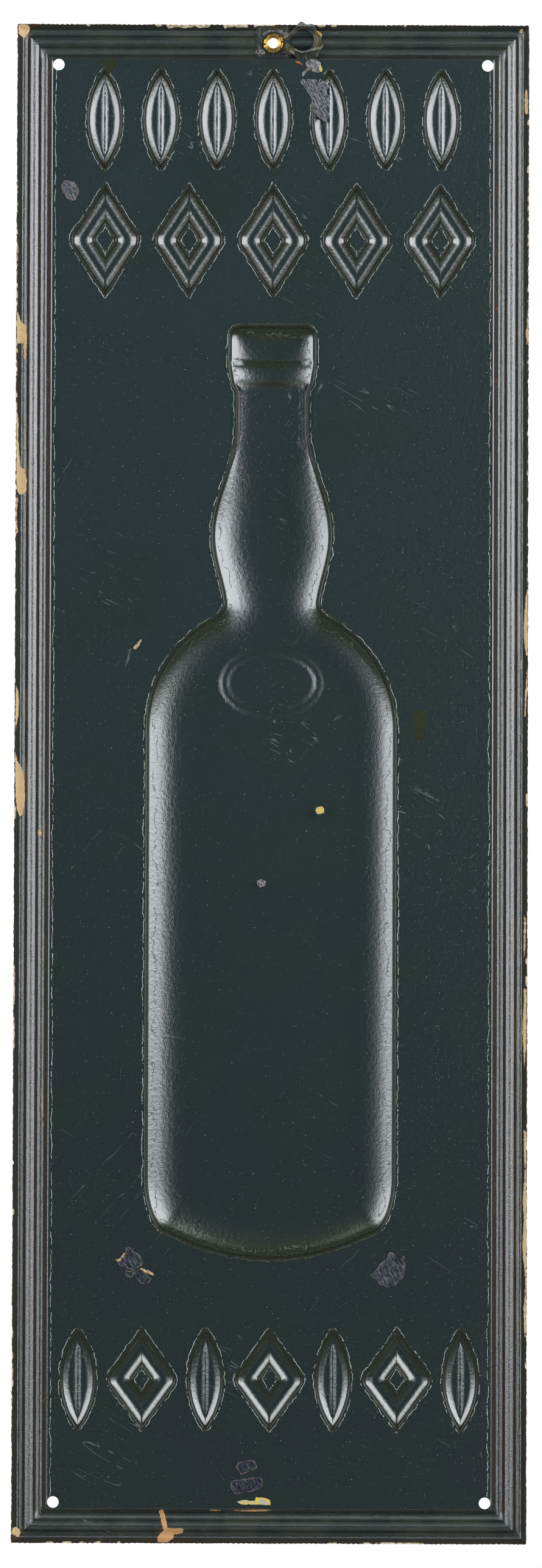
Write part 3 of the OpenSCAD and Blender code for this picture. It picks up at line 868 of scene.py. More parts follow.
def border():
    """The moulding: rows at steady distances from the edge, mitred at corners, and a patch with the seat."""
    x = (HALF_W - SIDE_ROWS[:, None]) * unit_x
    z = (HALF_H - BORDER_ROWS[:, None]) * unit_z
    flat = pairs(x, z)
    points, values = placed(flat, sheet_level(*flat.T))
    run = (points, grid_faces(len(BORDER_ROWS), len(unit_x), closed=False), values)
    gap = SEAT_PATCH / HALF_W
    across = np.linspace(-gap, gap, 45)
    x = (HALF_W - SIDE_ROWS[:, None]) * across
    z = np.broadcast_to(HALF_H - BORDER_ROWS[:, None], x.shape)
    frame_loop = np.concatenate([
        pairs(x[0], z[0]), pairs(x[1:, -1], z[1:, -1]), pairs(x[-1, -2::-1], z[-1, -2::-1]),
        pairs(x[-2:0:-1, 0], z[-2:0:-1, 0])])
    hole = circle(0, EYELET_Z, BARREL_R + 0.02, 40)
    inner = pairs(x[1:-1, 1:-1], z[1:-1, 1:-1])
    inner = inner[np.hypot(inner[:, 0], inner[:, 1] - EYELET_Z) > BARREL_R + 0.15]

    def off_hole(p):
        return np.hypot(p[:, 0], p[:, 1] - EYELET_Z) > BARREL_R

    flat, faces = triangulate([frame_loop, hole], inner, off_hole)
    points, values = placed(flat, sheet_level(*flat.T))
    last_row = run[0][-len(unit_x):, [0, 2]]
    inner_loop = np.concatenate([last_row, pairs(x[-1, 1:-1], z[-1, 1:-1])])
    return sheet(*join([run, (points, faces, values)])), inner_loop


COLLAR_ROWS = np.array([-3, -2.3, -1.7, -1.3, -0.95, -0.65, -0.4, -0.2])
WALL_ROWS = np.array([0, 0.12, 0.25, 0.37, 0.5, 0.65, 0.85, 1.1, 1.4, 1.8, 2.3, 2.9, 3.6, 4.4, 5.2, 6, 6.9,
                      7.8, 8.8, 9.8])
BOTTLE = bottle_loop(560)


def bottle_level(flat, inset):
    """Depth of the bottle: wall and round shoulder by distance from the outline, shallower in the neck."""
    x, z = flat.T
    down, aside = np.maximum(BOTTLE_TOP - z, 0.01), np.maximum(LIP_HALF - np.abs(x), 0.01)
    dome = (down ** -2.5 + aside ** -2.5) ** -0.4
    inset = np.where(z > 131, inset + (np.minimum(inset, dome) - inset) * ramp(z, 131, 137), inset)
    neck = ramp(z, BULB_Z + 4, NECK_BOTTOM - 5) - 0.7 * ramp(z, 128.5, 132.5)
    y = -body_wall(inset) * (1 - neck) - neck_wall(inset) * neck
    bands = 0.7 * np.exp(-((z - LIP_GROOVE_Z) / 0.8) ** 2) + 0.35 * np.exp(-((z - LIP_FOOT_Z) / 1.2) ** 2)
    y = y + bands * ramp(inset, 0.3, 2.0) * (z > 120)
    oval = np.hypot(x / SEAL_HALF_W, (z - SEAL_Z) / SEAL_HALF_H) + 1e-6
    slope = np.hypot(x / SEAL_HALF_W ** 2, (z - SEAL_Z) / SEAL_HALF_H ** 2) + 1e-6
    return y + seal_level(oval * (1 - oval) / slope)


def bottle_rings():
    """Loops that run in from a collar round the outline, over the wall, to the flat face."""
    normal = outward(BOTTLE)
    spine = np.transpose([np.zeros(len(BOTTLE)), np.clip(BOTTLE[:, 1], SPINE_BOTTOM, SPINE_TOP)])
    rings = [BOTTLE - normal * d for d in COLLAR_ROWS]
    reach = np.hypot(*(spine - BOTTLE).T)[:, None]
    span = np.cos(np.linspace(-math.pi / 2, math.pi / 2, 27)[1:-1])
    spread = np.transpose([
        np.convolve(np.concatenate([n[-12:], n, n[:12]]), span / span.sum(), "valid") for n in normal.T])
    for d in WALL_ROWS:
        t = np.minimum(d / reach, 0.92)
        aim = normal + (spread - normal) * ramp(d, 0.8, 4.0)
        rings.append((1 - t) ** 2 * BOTTLE + 2 * t * (1 - t) * (BOTTLE - aim * reach * 0.5) + t * t * spine)
    return rings


def face_places(face_loop):
    """Places across the flat face, closer together round the seal and across the lip."""
    step = 1.9
    inner = grid(np.arange(-40, 40, step), np.arange(-156, 150, step))
    inner[:, 0] += (np.round(inner[:, 1] / step) % 2) * step / 2
    inner = inner[distance_in(face_loop, inner) > 0.7]
    seal = circle(0, 0, 1, 150) * (SEAL_HALF_W, SEAL_HALF_H)
    seal_normal = outward(seal)
    offsets = np.concatenate([[-1.6, -0.9], np.arange(-0.3, SEAL_RING + 0.4, 0.3), [5.8]])
    rows = [seal - seal_normal * d + (0, SEAL_Z) for d in offsets]
    near = np.hypot(inner[:, 0] / (SEAL_HALF_W + 2.4), (inner[:, 1] - SEAL_Z) / (SEAL_HALF_H + 2.4))
    far = np.hypot(inner[:, 0] / (SEAL_HALF_W - 6.6), (inner[:, 1] - SEAL_Z) / (SEAL_HALF_H - 6.6))
    bands = grid(np.arange(-13, 13.1, 0.8), np.arange(128, 142, 0.45))
    bands = bands[distance_in(face_loop, bands) > 0.35]
    inner = inner[((near > 1) | (far < 1)) & ((inner[:, 1] < 127) | (inner[:, 1] > 143))]
    return np.concatenate([inner, bands] + rows)


def bottle():
    """Rings that run in from a collar to the flat face, then triangles across the face and the seal."""
    rings = bottle_rings()
    flat = np.concatenate(rings)
    face_loop = rings[-1]
    face, faces = triangulate([face_loop], face_places(face_loop), lambda p: inside(face_loop, p))
    parts = []
    pool = looks_level(BOTTLE, len(rings))
    for places, shape, level in ((flat, grid_faces(len(rings), len(BOTTLE)), pool), (face, faces, 0.0)):
        inset = distance_in(BOTTLE, places)
        points, values = placed(places, bottle_level(places, inset), inset, level)
        parts.append((points, shape, values))
    return sheet(*join(parts)), rings[0]


OUTSIDE_ROWS = (-1.6, -1.2, -0.9, -0.6, -0.35)


def leaf(cx, cz, height):
    """Rings at steady distances inside two equal arcs; past the round tips they follow the middle line."""
    tip = 0.7
    half = LEAF_W / 2
    inner_half = height / 2 - tip
    middle = (inner_half ** 2 - (half - tip) ** 2) / (2 * (half - tip))
    radius = middle + half
    turn = math.asin(inner_half / (radius - tip))
    body = np.linspace(turn, -turn, 44)
    cap = np.linspace(math.pi / 2, turn, 8)[:-1]
    insets = np.array([*OUTSIDE_ROWS, -0.15, 0, 0.15, 0.3, 0.45, 0.6, 0.75, 0.95, 1.2, 1.45, 1.75, 2.05, 2.4,
                       2.8, 3.3, 3.9, 4.4, 4.8, 5.1, half])
    rows = []
    for d in insets:
        reach = max(radius - d, middle)
        limit = math.acos(min(middle / reach, 1))
        a = np.clip(body, -limit, limit)
        right = np.transpose([reach * np.cos(a) - middle, reach * np.sin(a)])
        if d < tip:
            top = np.transpose([(tip - d) * np.cos(cap), inner_half + (tip - d) * np.sin(cap)])
        else:
            top = np.broadcast_to((0, reach * math.sin(limit)), (len(cap), 2))
        half_row = np.concatenate([top, right, top[::-1] * (1, -1)])
        rows.append(np.concatenate([half_row, half_row[-2:0:-1] * (-1, 1)]))
    count = len(rows[0])
    flat = np.concatenate(rows)
    inset = np.repeat(insets, count)
    vein = 0.3 * np.exp(-((flat[:, 0] / 0.7) ** 2)) * ramp(inset, 1.8, 3.2)
    points, values = placed(flat + (cx, cz), leaf_level(inset) + vein, inset, looks_level(rows[0], len(rows)))
    return (points, grid_faces(len(rows), count), values), rows[0] + (cx, cz)


def lozenge(cx, cz, height):
    """Rings scaled about the middle, so that each is at one distance inside the four straight sides."""
    half, up = LOZENGE_W / 2, height / 2
    reach = half * up / math.hypot(half, up)
    blunt = 0.9
    corners = np.array([
        (0, up), (half - blunt, blunt * up / half), (half - blunt, -blunt * up / half),
        (0, -up), (blunt - half, -blunt * up / half), (blunt - half, blunt * up / half)])
    loop = even_loop(corners, 112, 0.55)
    wall = np.array([-0.15, 0, 0.15, 0.3, 0.45, 0.6, 0.75, 0.95, 1.2, 1.5, 1.85, 2.25, 2.7, 3.1])
    insets = np.concatenate([OUTSIDE_ROWS, wall, STROKE_W - wall[::-1], [7.1, 7.6, 8.4, reach]])
    scales = 1 - insets / reach
    flat = (scales[:, None, None] * loop).reshape(-1, 2)
    inset = np.repeat(insets, len(loop))
    inset = np.minimum(inset, STROKE_W - inset)
    level = looks_level(loop, len(insets))
    points, values = placed(flat + (cx, cz), stroke_level(np.repeat(insets, len(loop))), inset, level)
    return (points, grid_faces(len(insets), len(loop)), values), scales[0] * loop + (cx, cz)


def ornament(high):
    """The leaves and lozenges above or below the bottle, and the loops that they need in the field."""
    made = [
        form(*place) for form, places in ((leaf, LEAVES), (lozenge, LOZENGES))
        for place in places if (place[1] > 0) == high]
    return sheet(*join([m[0] for m in made])), [m[1] for m in made]


def field(outer, openings):
    """The flat of the sheet between the border and the relief, with the four corner holes."""
    holes = [
        circle(sx * (HALF_W - HOLE_IN_X), sz * (HALF_H - HOLE_IN_Z), HOLE_R, 44)
        for sx in (-1, 1) for sz in (-1, 1)]
    loops = [outer] + openings + holes

    def keep(points):
        stays = np.ones(len(points), bool)
        for loop in openings + holes:
            lo, hi = loop.min(axis=0), loop.max(axis=0)
            near = np.all((points > lo) & (points < hi), axis=1)
            stays[near] &= ~inside(loop, points[near])
        return stays & (edge_distance(*points.T) > BORDER_IN - 0.1)

    flat, faces = triangulate(loops, np.zeros((0, 2)), keep)
    points, values = placed(flat, sheet_level(*flat.T))
    return sheet(points, faces, values)


# Worn places on the back: a tone, then an outline that is read off the photograph, with +X to the left there
BARE_TIN = [
    (0.95, [(-10.8, 237.9), (-13.2, 238.6), (-15.4, 237.7), (-16.2, 235), (-14.6, 234), (-12, 235),
     (-10.8, 236.6)]),
    (0.8, [(-11.8, 235.8), (-10, 234.6), (-9.4, 233.2), (-9.8, 232.6), (-11, 234.4), (-11.8, 234.8)]),
    (0.62, [(-9.2, 231.8), (-14.2, 231.8), (-14.6, 230.2), (-16.8, 231.6), (-18.4, 230), (-17.6, 227.6),
     (-18.4, 226.2), (-18.7, 220.2), (-17.7, 217.6), (-15.1, 219.2), (-12.8, 221.8), (-12.6, 225.6),
     (-10, 229.8), (-8.8, 230.6)]),
    (0.45, [(69.8, 196.5), (69, 197.9), (67.6, 198.3), (64.8, 197.1), (63.8, 194.7), (64.7, 192.5),
     (65.1, 191.3), (68, 192.3), (69.2, 194.5)]),
    (0.05, [(47.4, -153.1), (46.2, -152.9), (44, -154.8), (42.8, -155.2), (41.9, -157), (41.5, -158.4),
     (44.3, -160.6), (48.8, -159.4), (50.4, -157.4), (48.6, -156.8), (47, -154.8)]),
    (0.0, [(48.8, -160), (46.6, -160.9), (44.7, -160.9), (44.6, -162.4), (45.9, -163), (48.2, -161.4)]),
    (0.0, [(44, -161), (42.5, -160.2), (40.7, -161.6), (38.7, -163.4), (40.3, -165.2), (42.3, -164.8),
     (44.3, -161.8)]),
    (0.1, [(-37.5, -157.2), (-38.7, -156.4), (-39.4, -154.4), (-40.5, -154.6), (-42.8, -157), (-44, -155.6),
     (-44.4, -158.8), (-44, -162.4), (-41.8, -164.6), (-40.2, -166.2), (-36.4, -165), (-33.1, -162),
     (-34.9, -160.4), (-36.3, -158.4)]),
    (0.0, [(10.2, -223.4), (7.2, -222.6), (4.8, -222.8), (3.7, -225), (6.4, -226.2), (9, -227.4),
     (10.6, -225.4)]),
    (0.0, [(12.4, -229.4), (8.4, -228.8), (2.1, -227.9), (2.2, -231.6), (5.6, -232.8), (10.8, -233.6),
     (12.4, -232)]),
    (0.9, [(4.6, -32.7), (3, -32.1), (1.6, -32.9), (1.8, -34.3), (3.4, -34.7), (4.4, -33.9)]),
    (0.75, [(3.4, 247.3), (1.1, 248.1), (-2.9, 248.1), (-3.3, 246.6), (0, 246), (3.1, 245.2)]),
    (0.85, [(5.9, 241.5), (4.3, 241.8), (2.7, 241.3), (2.7, 240.2), (4.3, 240.1), (5.8, 240.6)]),
    (0.8, [(4.2, 245.4), (3.2, 245.6), (2.9, 244.2), (3.9, 243.8)]),
    (0.6, [(-2.9, 247.1), (-4.1, 247.5), (-5.5, 247.1), (-5.7, 246.4), (-4.1, 246.2), (-3.1, 246.5)])]
UNDERCOAT = [
    (0.0, [(84.1, 249.7), (82.2, 250.4), (81, 249.8), (80.2, 248.7), (81.4, 246.1), (82.4, 245.5),
     (84.1, 246.7)]),
    (0.0, [(84.4, -246.3), (83.8, -245.1), (83, -244.7), (81.8, -245.5), (81.2, -246.7), (82, -248.1),
     (83.6, -247.4)]),
    (0.4, [(36.1, -239.1), (34.5, -238.9), (33.8, -241.5), (33, -244.9), (29, -244.9), (27.8, -245.1),
     (28.2, -246.7), (31.2, -247.1), (31, -248.3), (33.4, -249.6), (36.4, -249.6), (36.6, -248.3),
     (34.4, -245.5), (35.3, -242.5)]),
    (0.15, [(42.7, -159.6), (39.5, -160.7), (37.7, -161.8), (38.1, -162.4), (41.5, -160.9)]),
    (0.15, [(50.6, -157), (49.2, -158), (47.3, -155), (47.6, -154.8), (49.3, -156.9)]),
    (0.7, [(-15.2, 237.5), (-15.8, 236.2), (-16.4, 235), (-15.8, 234.2), (-15.3, 234.6), (-15.3, 236.2)]),
    (0.72, [(10.6, -236.3), (8.8, -235.6), (6.4, -235.8), (4.6, -235.9), (4.2, -234.7), (1.6, -234.8),
     (-0.5, -235.6), (-0.7, -237.3), (5.4, -237.1), (8.4, -237.2)]),
    (0.6, [(-14.8, -8.7), (-15.8, -8), (-17.4, -8.4), (-17.6, -10.2), (-16.2, -10.8), (-14.8, -10.2)]),
    (0.15, [(45.5, 44.2), (44.7, 44.9), (43.7, 45.9), (43, 46.9), (42.6, 46.3), (43.3, 44.9), (44.2, 43.6),
     (45.2, 43.4)]),
    (1.0, [(-7, 237.7), (-7.8, 238.1), (-9.6, 237.1), (-10, 236.4), (-8.2, 237)]),
    (0.35, [(12, -239), (2, -238.7), (-1.6, -239), (2.4, -239.5), (9, -239.5)]),
    (0.35, [(19.5, -239), (17.5, -238.8), (15.6, -239.1), (17.6, -239.4)]),
    (0.0, [(84.6, 155.6), (83.5, 153.6), (82.8, 151.3), (81.1, 150.6), (80.9, 145.3), (81.2, 139.2),
     (81.9, 139.2), (82.1, 144.5), (83.9, 144.1), (84.5, 145.9)]),
    (0.0, [(84.1, 121.8), (83.5, 118.5), (83.6, 112.5), (83.3, 109.1), (82.8, 103.8), (81.6, 102.8),
     (80.7, 99.4), (80.9, 95.7), (81.9, 94.5), (83.4, 94.5), (84, 96.4), (84.1, 105.8), (84.2, 112.5)]),
    (0.0, [(83.8, 94.4), (83.6, 92.4), (84, 88.4), (83.8, 84.4), (83.5, 82), (84.1, 81.2), (84.2, 85.7),
     (84.3, 91.1)]),
    (0.0, [(84, 31.8), (83.2, 29.5), (82.9, 25.5), (83.2, 21.5), (83.7, 18.8), (84, 16.1), (84.1, 21.5),
     (84, 26.8)]),
    (0.0, [(84.2, 9.8), (83.4, 6.8), (82.2, 4.6), (81.3, 2.7), (81.1, -0.6), (80.9, -5.3), (81.2, -8.6),
     (81.8, -11.3), (82.7, -11.7), (83.5, -9.6), (83.9, -5.3), (84, -0.6), (84.1, 5.4)]),
    (0.0, [(76.1, -15.7), (75.5, -16.3), (75.3, -17.1), (75.7, -18.1), (76.3, -18), (76.7, -17.1),
     (76.5, -16.1)]),
    (0.4, [(75.4, -100.6), (74.9, -103.6), (74.5, -106.3), (74.5, -111), (74.2, -113.5), (74.6, -113.7),
     (75, -110.3), (75.2, -106.3), (75, -104.3)]),
    (0.0, [(-83.3, 229.2), (-83.9, 228.2), (-84, 220.9), (-83.4, 220.3), (-82.9, 221.9), (-83, 226.9)]),
    (0.0, [(-83.9, 153.4), (-84.2, 151.9), (-84.2, 145.3), (-83.8, 144.1), (-83.5, 147.9)]),
    (0.1, [(-81.1, 248.6), (-81.9, 248.9), (-82.6, 248.7), (-82.4, 247.8), (-81.7, 247.5), (-81.2, 247.9)]),
    (0.0, [(-84.1, 63.6), (-83.5, 60.3), (-83, 52.9), (-82.9, 48.9), (-83.3, 44.9), (-83.7, 41.7),
     (-84.3, 41.7), (-84.4, 52.3), (-84.4, 63)]),
    (0.0, [(-82.4, 40.9), (-82.6, 38.9), (-82.3, 36.9), (-81.9, 38.9)]),
    (0.0, [(-84.1, 37.5), (-84.4, 32.2), (-84, 28.8), (-83.7, 21.5), (-83.3, 21.5), (-83.4, 28.8),
     (-83.8, 33.5)]),
    (0.0, [(-83.3, -43.4), (-83.9, -44.8), (-83.8, -54.1), (-83.4, -57.8), (-83.1, -54.1), (-83.2, -50.1)]),
    (0.0, [(-83.2, -67.5), (-84.1, -68.2), (-84.1, -85.6), (-83.5, -94.3), (-83.1, -87.6), (-82.8, -82.9),
     (-82.9, -77.5), (-83.3, -71.5)]),
    (0.0, [(-83.4, -114.3), (-84.2, -115), (-84.1, -126.7), (-83.6, -126.7), (-83.3, -120.4)]),
    (0.0, [(-83.6, -127.1), (-84.1, -127.2), (-84.3, -147.1), (-84.3, -160.5), (-84.3, -181.9),
     (-83.7, -182.3), (-83.4, -173.9), (-83.9, -165.2), (-83.6, -159.2), (-82.9, -153.1), (-83.4, -143.8),
     (-83, -137.1), (-83.5, -131.1)])]
OLD_FILM = [
    (0.0, [(59, 237.2), (56.4, 238.3), (54.1, 238.2), (52, 237.8), (52.3, 235.6), (54.1, 233.2),
     (54.9, 233.9), (55.4, 235.6), (56.7, 236.9), (58.3, 236.8)]),
    (0.0, [(-47, 23.1), (-50.2, 23.9), (-51, 19.5), (-49.8, 13.6), (-47.8, 14.3), (-47, 18.5)]),
    (1.0, [(80.4, 250), (78.2, 250), (77.8, 249.3), (78.8, 248.3), (80.2, 249)]),
    (0.8, [(1.7, 249.3), (-1.1, 249.6), (-3.1, 249.3), (-2.9, 248.9), (1.4, 248.9)]),
    (0.9, [(84.7, -248.9), (84.4, -247.1), (83.2, -247.6), (82.2, -248.7), (84.2, -249.4)])]


def flakes(places, lift, ragged, seed):
    """Thin flakes with ragged outlines that lie on the back of the sheet."""
    parts = []
    for k, (tone, outline) in enumerate(places):
        outline = np.array(outline, float)
        round_trip = np.concatenate([outline, outline[:1]])
        count = int(np.sum(np.hypot(*np.diff(round_trip, axis=0).T)) / 0.17)
        loop = even_loop(outline, count, 0.3)
        wander = ripple(*loop.T, 1.6, seed + k) + 0.7 * ripple(*loop.T, 0.6, seed + k + 50)
        loop = loop + outward(loop) * (wander * ragged)[:, None]
        loop = np.clip(loop, (-HALF_W + 0.03, -HALF_H + 0.03), (HALF_W - 0.03, HALF_H - 0.03))
        step = 0.32
        low, high = loop.min(axis=0), loop.max(axis=0)
        inner = grid(np.arange(low[0], high[0], step), np.arange(low[1], high[1], step))
        inner = inner[distance_in(loop, inner) > 0.12]
        flat, faces = triangulate([loop], inner, lambda p, loop=loop: inside(loop, p))
        points = np.transpose([flat[:, 0], sheet_level(*flat.T) + lift, flat[:, 1]])
        rim = np.maximum(distance_in(loop, flat), 0)
        parts.append((points, faces, {"rim": rim, "tone": np.full(len(flat), tone)}))
    return sheet(*join(parts), thickness=0.12)


# Stretches of bare undercoat along the edge: side (0 is +X, 1 is -Z, 2 is -X, 3 is +Z), from, to and width
EDGE_CHIPS = [
    (3, -1, 37, 0.75), (3, -18, -14, 0.35), (0, 174, 177.5, 0.4), (0, 80, 200, 0.12), (0, -92, -60, 0.2),
    (0, -205, -180, 0.2), (2, 60, 200, 0.12), (1, 60, 74, 0.2), (1, -52, -30, 0.2)]
EDGE_ROWS = np.linspace(0, 1, 6)


def sheet_edge():
    """The cut edge of the sheet: a ragged, rusty strip, with the undercoat bare along parts of it."""
    parts = []
    for side, half in enumerate((HALF_H, HALF_W, HALF_H, HALF_W)):
        along = np.linspace(half, -half, int(half * 2 / 0.4))[:-1]
        if side > 1:
            along = -along
        flat = {0: (HALF_W, along), 1: (along, -HALF_H), 2: (-HALF_W, along), 3: (along, HALF_H)}[side]
        x, z = np.broadcast_arrays(*flat)
        chip = np.zeros(len(along))
        for chip_side, low, high, width in EDGE_CHIPS:
            if chip_side == side:
                window = ramp(along, low, low + 1.5) * (1 - ramp(along, high - 1.5, high))
                uneven = (0.75 + 0.35 * ripple(x, z, 3.2, 5)) * (ripple(x, z, 7, 8) > -0.7)
                chip = np.maximum(chip, width * window * uneven)
        chip = np.maximum(chip, 0.3 * ramp(ripple(x, z, 5, 31), 1.1, 1.5))
        worn = 0.13 + 0.07 * ripple(x, z, 1.1, 3) + 0.05 * ripple(x, z, 0.5, 4) + 0.05 * ripple(x, z, 9, 6)
        parts.append((x, z, np.clip(worn, 0, 0.3), np.maximum(chip, 0)))
    x, z, worn, chip = (np.concatenate(values) for values in zip(*parts))
    width = 0.42 - worn + chip
    inset = worn + EDGE_ROWS[:, None] * width
    px = x * (1 - inset / HALF_W)
    pz = z * (1 - inset / HALF_H)
    level = border_level(edge_distance(px, pz)) + 0.025
    points = np.transpose([px.ravel(), level.ravel(), pz.ravel()])
    chipped = np.broadcast_to(chip, px.shape).ravel()
    return sheet(points, grid_faces(len(EDGE_ROWS), len(x)), {"chip": chipped})


def spun(radius, y, turn):
    """Points round the eyelet's axis, from radii and levels."""
    x, z = radius * np.cos(turn), EYELET_Z + radius * np.sin(turn)
    return np.transpose([x.ravel(), y.ravel(), z.ravel()])


def petals(turn):
    """Round the eyelet: how far the petals reach and curl, and the splits between them."""
    place = (turn + math.radians(8)) * PETALS / (2 * math.pi)
    which = np.floor(place).astype(int) % PETALS
    off = place % 1 * 2 - 1
    draw = np.random.default_rng(23)
    length = (PETAL_R - draw.uniform(0, 0.3, PETALS))[which]
    length = length - 0.1 * np.abs(off) + 0.05 * np.sin(5 * off + which)
    notch = ramp(np.abs(off), 0.74, 1.0)
    curl = draw.uniform(-0.04, 0.09, PETALS)[which] + draw.uniform(-0.1, 0.1, PETALS)[which] * off
    return length + (2.5 - length) * notch, curl, notch


def eyelet():
    """One ring of brass: bore, rolled lip, eight split petals of uneven length, barrel and front head."""
    count = PETALS * 32
    turn = np.arange(count) * 2 * math.pi / count
    tip, curl, notch = petals(turn)
    ripples = 0.02 * np.sin(turn * 13 + 1)
    rows = []

    def ring(radius, y):
        rows.append((np.broadcast_to(radius, turn.shape), np.broadcast_to(y, turn.shape)))

    head = -CREST_DEPTH - SHEET_T
    under = FLANGE_Y + 0.005
    root = 2.3
    lip = [
        (BORE_R, head - 0.2), (BORE_R, -0.5), (BORE_R, -0.05), (1.75, 0.06), (1.8, 0.13), (1.88, 0.19),
        (1.98, 0.225), (2.08, 0.23), (2.18, 0.2), (2.27, 0.14)]
    for radius, y in lip:
        ring(radius + ripples * (y > 0), y)
    for t, rise in ((0.08, 0.1), (0.25, 0.1), (0.45, 0.13), (0.65, 0.16), (0.82, 0.15), (0.94, 0.08), (1, 0)):
        y = rise + curl * t * (1 - notch) - 0.07 * notch
        ring(root + (tip - root) * t, np.clip(y, FLANGE_Y + 0.03, 0.235))
    ring(tip, under)
    for radius, y in (
            (2.35, under), (BARREL_R, under), (BARREL_R, head), (HEAD_R - 0.1, head), (HEAD_R, head - 0.08),
            (HEAD_R, head - 0.2), (HEAD_R - 0.12, head - 0.31), (HEAD_R - 0.4, head - 0.35),
            (2.6, head - 0.33), (2.1, head - 0.345), (1.88, head - 0.3)):
        ring(radius, y)
    radius = np.array([r for r, _ in rows])
    y = np.array([v for _, v in rows])
    faces = grid_faces(len(rows) + 1, count) % (len(rows) * count)
    # painted shade and grime: dark in the splits, at the petals' roots beside the lip and near their tips
    shade_and_grime = np.array([notch * 0.9] * len(rows))
    first = len(lip)
    shade_and_grime[:first] = 0.0
    shade_and_grime[first:first + 2] = np.maximum(shade_and_grime[first:first + 2], 0.42)
    shade_and_grime[first + 5:first + 7] = np.maximum(shade_and_grime[first + 5:first + 7], 0.3)
    return spun(radius, y, turn), faces, {"shade_and_grime": shade_and_grime.ravel()}


def hanger_outline():
    """Outline of the hanging ring in its own plane: scalloped ring and two arms, without the round base."""
    a = np.arange(-108, 101, 2)
    radius = LOBE_R - SCALLOP * (1 - np.cos(np.radians(360 * (a - LOBE_PITCH / 2) / LOBE_PITCH))) / 2
    turn = np.radians(a)
    ring = np.transpose([HANGER_REACH + radius * np.cos(turn), radius * np.sin(turn) - RING_SHIFT])
    outline = np.concatenate([ring, UPPER_ARM, LOWER_ARM])
    loop = even_loop(outline, 420, 0.16)
    wander = 0.035 * ripple(*loop.T, 1.5, 41) + 0.02 * ripple(*loop.T, 0.6, 42)
    return loop + outward(loop) * wander[:, None]


def to_path(points, path):
    """Distance of points from an open path."""
    best = np.full(len(points), 1e9)
    for a, b in zip(np.array(path[:-1], float), np.array(path[1:], float)):
        along = b - a
        t = np.clip(((points - a) @ along) / (along @ along), 0, 1)
        best = np.minimum(best, np.hypot(*(points - a - t[:, None] * along).T))
    return best


# Ridges worn pale, and where gold and olive show, in the hanger's own plane: along the arm, and up from it
PALE_RIDGES = [[(3.9, 1.6), (6.2, 3.1), (8.4, 5.0), (11.5, 4.6), (13.6, 4.4)], [(8.6, 5.4), (12.4, 5.0)],
               [(6.9, -2.9), (9, -3.9), (12, -3.6), (13.6, -3.3), (16, -3.2)], [(5.4, -3.2), (6.3, -4.2)]]
GOLD_PATCH = [(15.3, 2.3), (15.9, 1.4)]
OLIVE_BANDS = [[(14.6, 1.4), (14.6, -1.4), (14.2, -2.8)], [(3.8, 2.1), (6.5, 2.9)],
               [(4.6, -1.4), (5.6, -3.2)]]


def hanger_blank():
    """The ring laid flat: places, faces, and how far each place is from a free edge, or 1 on the base."""
    outline = hanger_outline()
    base = circle(0, 0, BASE_R, 120)
    bore = circle(0, 0, BASE_BORE_R, 72)
    a = np.radians(np.linspace(180 - DROP_ANGLE, DROP_ANGLE - 180, 90))
    tip = HANGER_REACH - DROP_TIP
    drop = np.transpose([HANGER_REACH + LOOP_R * np.cos(a), LOOP_R * np.sin(a)])
    opening = even_loop(np.concatenate([drop, [(tip, -DROP_HALF), (tip, DROP_HALF)]]), 150, 0.12)
    step = 0.21
    inner = grid(np.arange(-4, 17, step), np.arange(-8, 7, step))

    def solid(p, margin=0.0):
        around = np.hypot(*p.T)
        metal = np.maximum(distance_in(outline, p), BASE_R - around) > margin
        return metal & (around > BASE_BORE_R + margin) & (distance_in(opening, p) < -margin)

    flat, faces = triangulate([outline, base, bore, opening], inner[solid(inner, 0.1)], solid)
    around = np.hypot(*flat.T)
    rim = np.maximum(distance_in(outline, flat), BASE_R - around)
    rim = np.minimum(rim, -distance_in(opening, flat))
    return flat, faces, np.where(around < BASE_R + 0.3, 1, rim)


def marked(points, paths, near, far):
    """1 along the paths, fading out between the two distances from them."""
    return np.max([1 - ramp(to_path(points, path), near, far) for path in paths], axis=0)


def hanger():
    """A stamped tin ring, cranked up from a round base, with a drop-shaped opening and worn ridges."""
    flat, faces, rim = hanger_blank()
    u, v = flat.T
    from_loop = np.hypot(u - HANGER_REACH, v)
    crank = ramp(np.hypot(u, v), 4.3, 5.3)
    y = BASE_Y + (RING_Y - BASE_Y) * crank + HANGER_T
    turn = np.degrees(np.arctan2(v + RING_SHIFT, u - HANGER_REACH))
    lobes = 0.5 + 0.5 * np.cos(np.radians(360 * (turn - LOBE_PITCH / 2) / LOBE_PITCH))
    bead = 0.2 * np.exp(-((from_loop - BEAD_R) / 0.42) ** 2)
    spokes = 0.12 * lobes ** 3 * ramp(from_loop, 4.6, 5.6)
    y = y + (bead + spokes) * crank * ramp(rim, -0.05, 0.5) - 0.07 * (1 - ramp(rim, 0, 0.22))
    y = y + 0.025 * ripple(u, v, 2.2, 44) * ramp(rim, 0, 0.4) * crank
    values = {
        "rim": rim, "pale": marked(flat, PALE_RIDGES, 0.1, 0.6), "gold": marked(flat, [GOLD_PATCH], 0.5, 1.0),
        "olive": marked(flat, OLIVE_BANDS, 0.7, 1.5)}
    rise = math.radians(HANGER_RISE)
    points = np.transpose([
        -u * math.cos(rise) + v * math.sin(rise), y, EYELET_Z + u * math.sin(rise) + v * math.cos(rise)])
    return sheet(points, faces, values, thickness=HANGER_T)


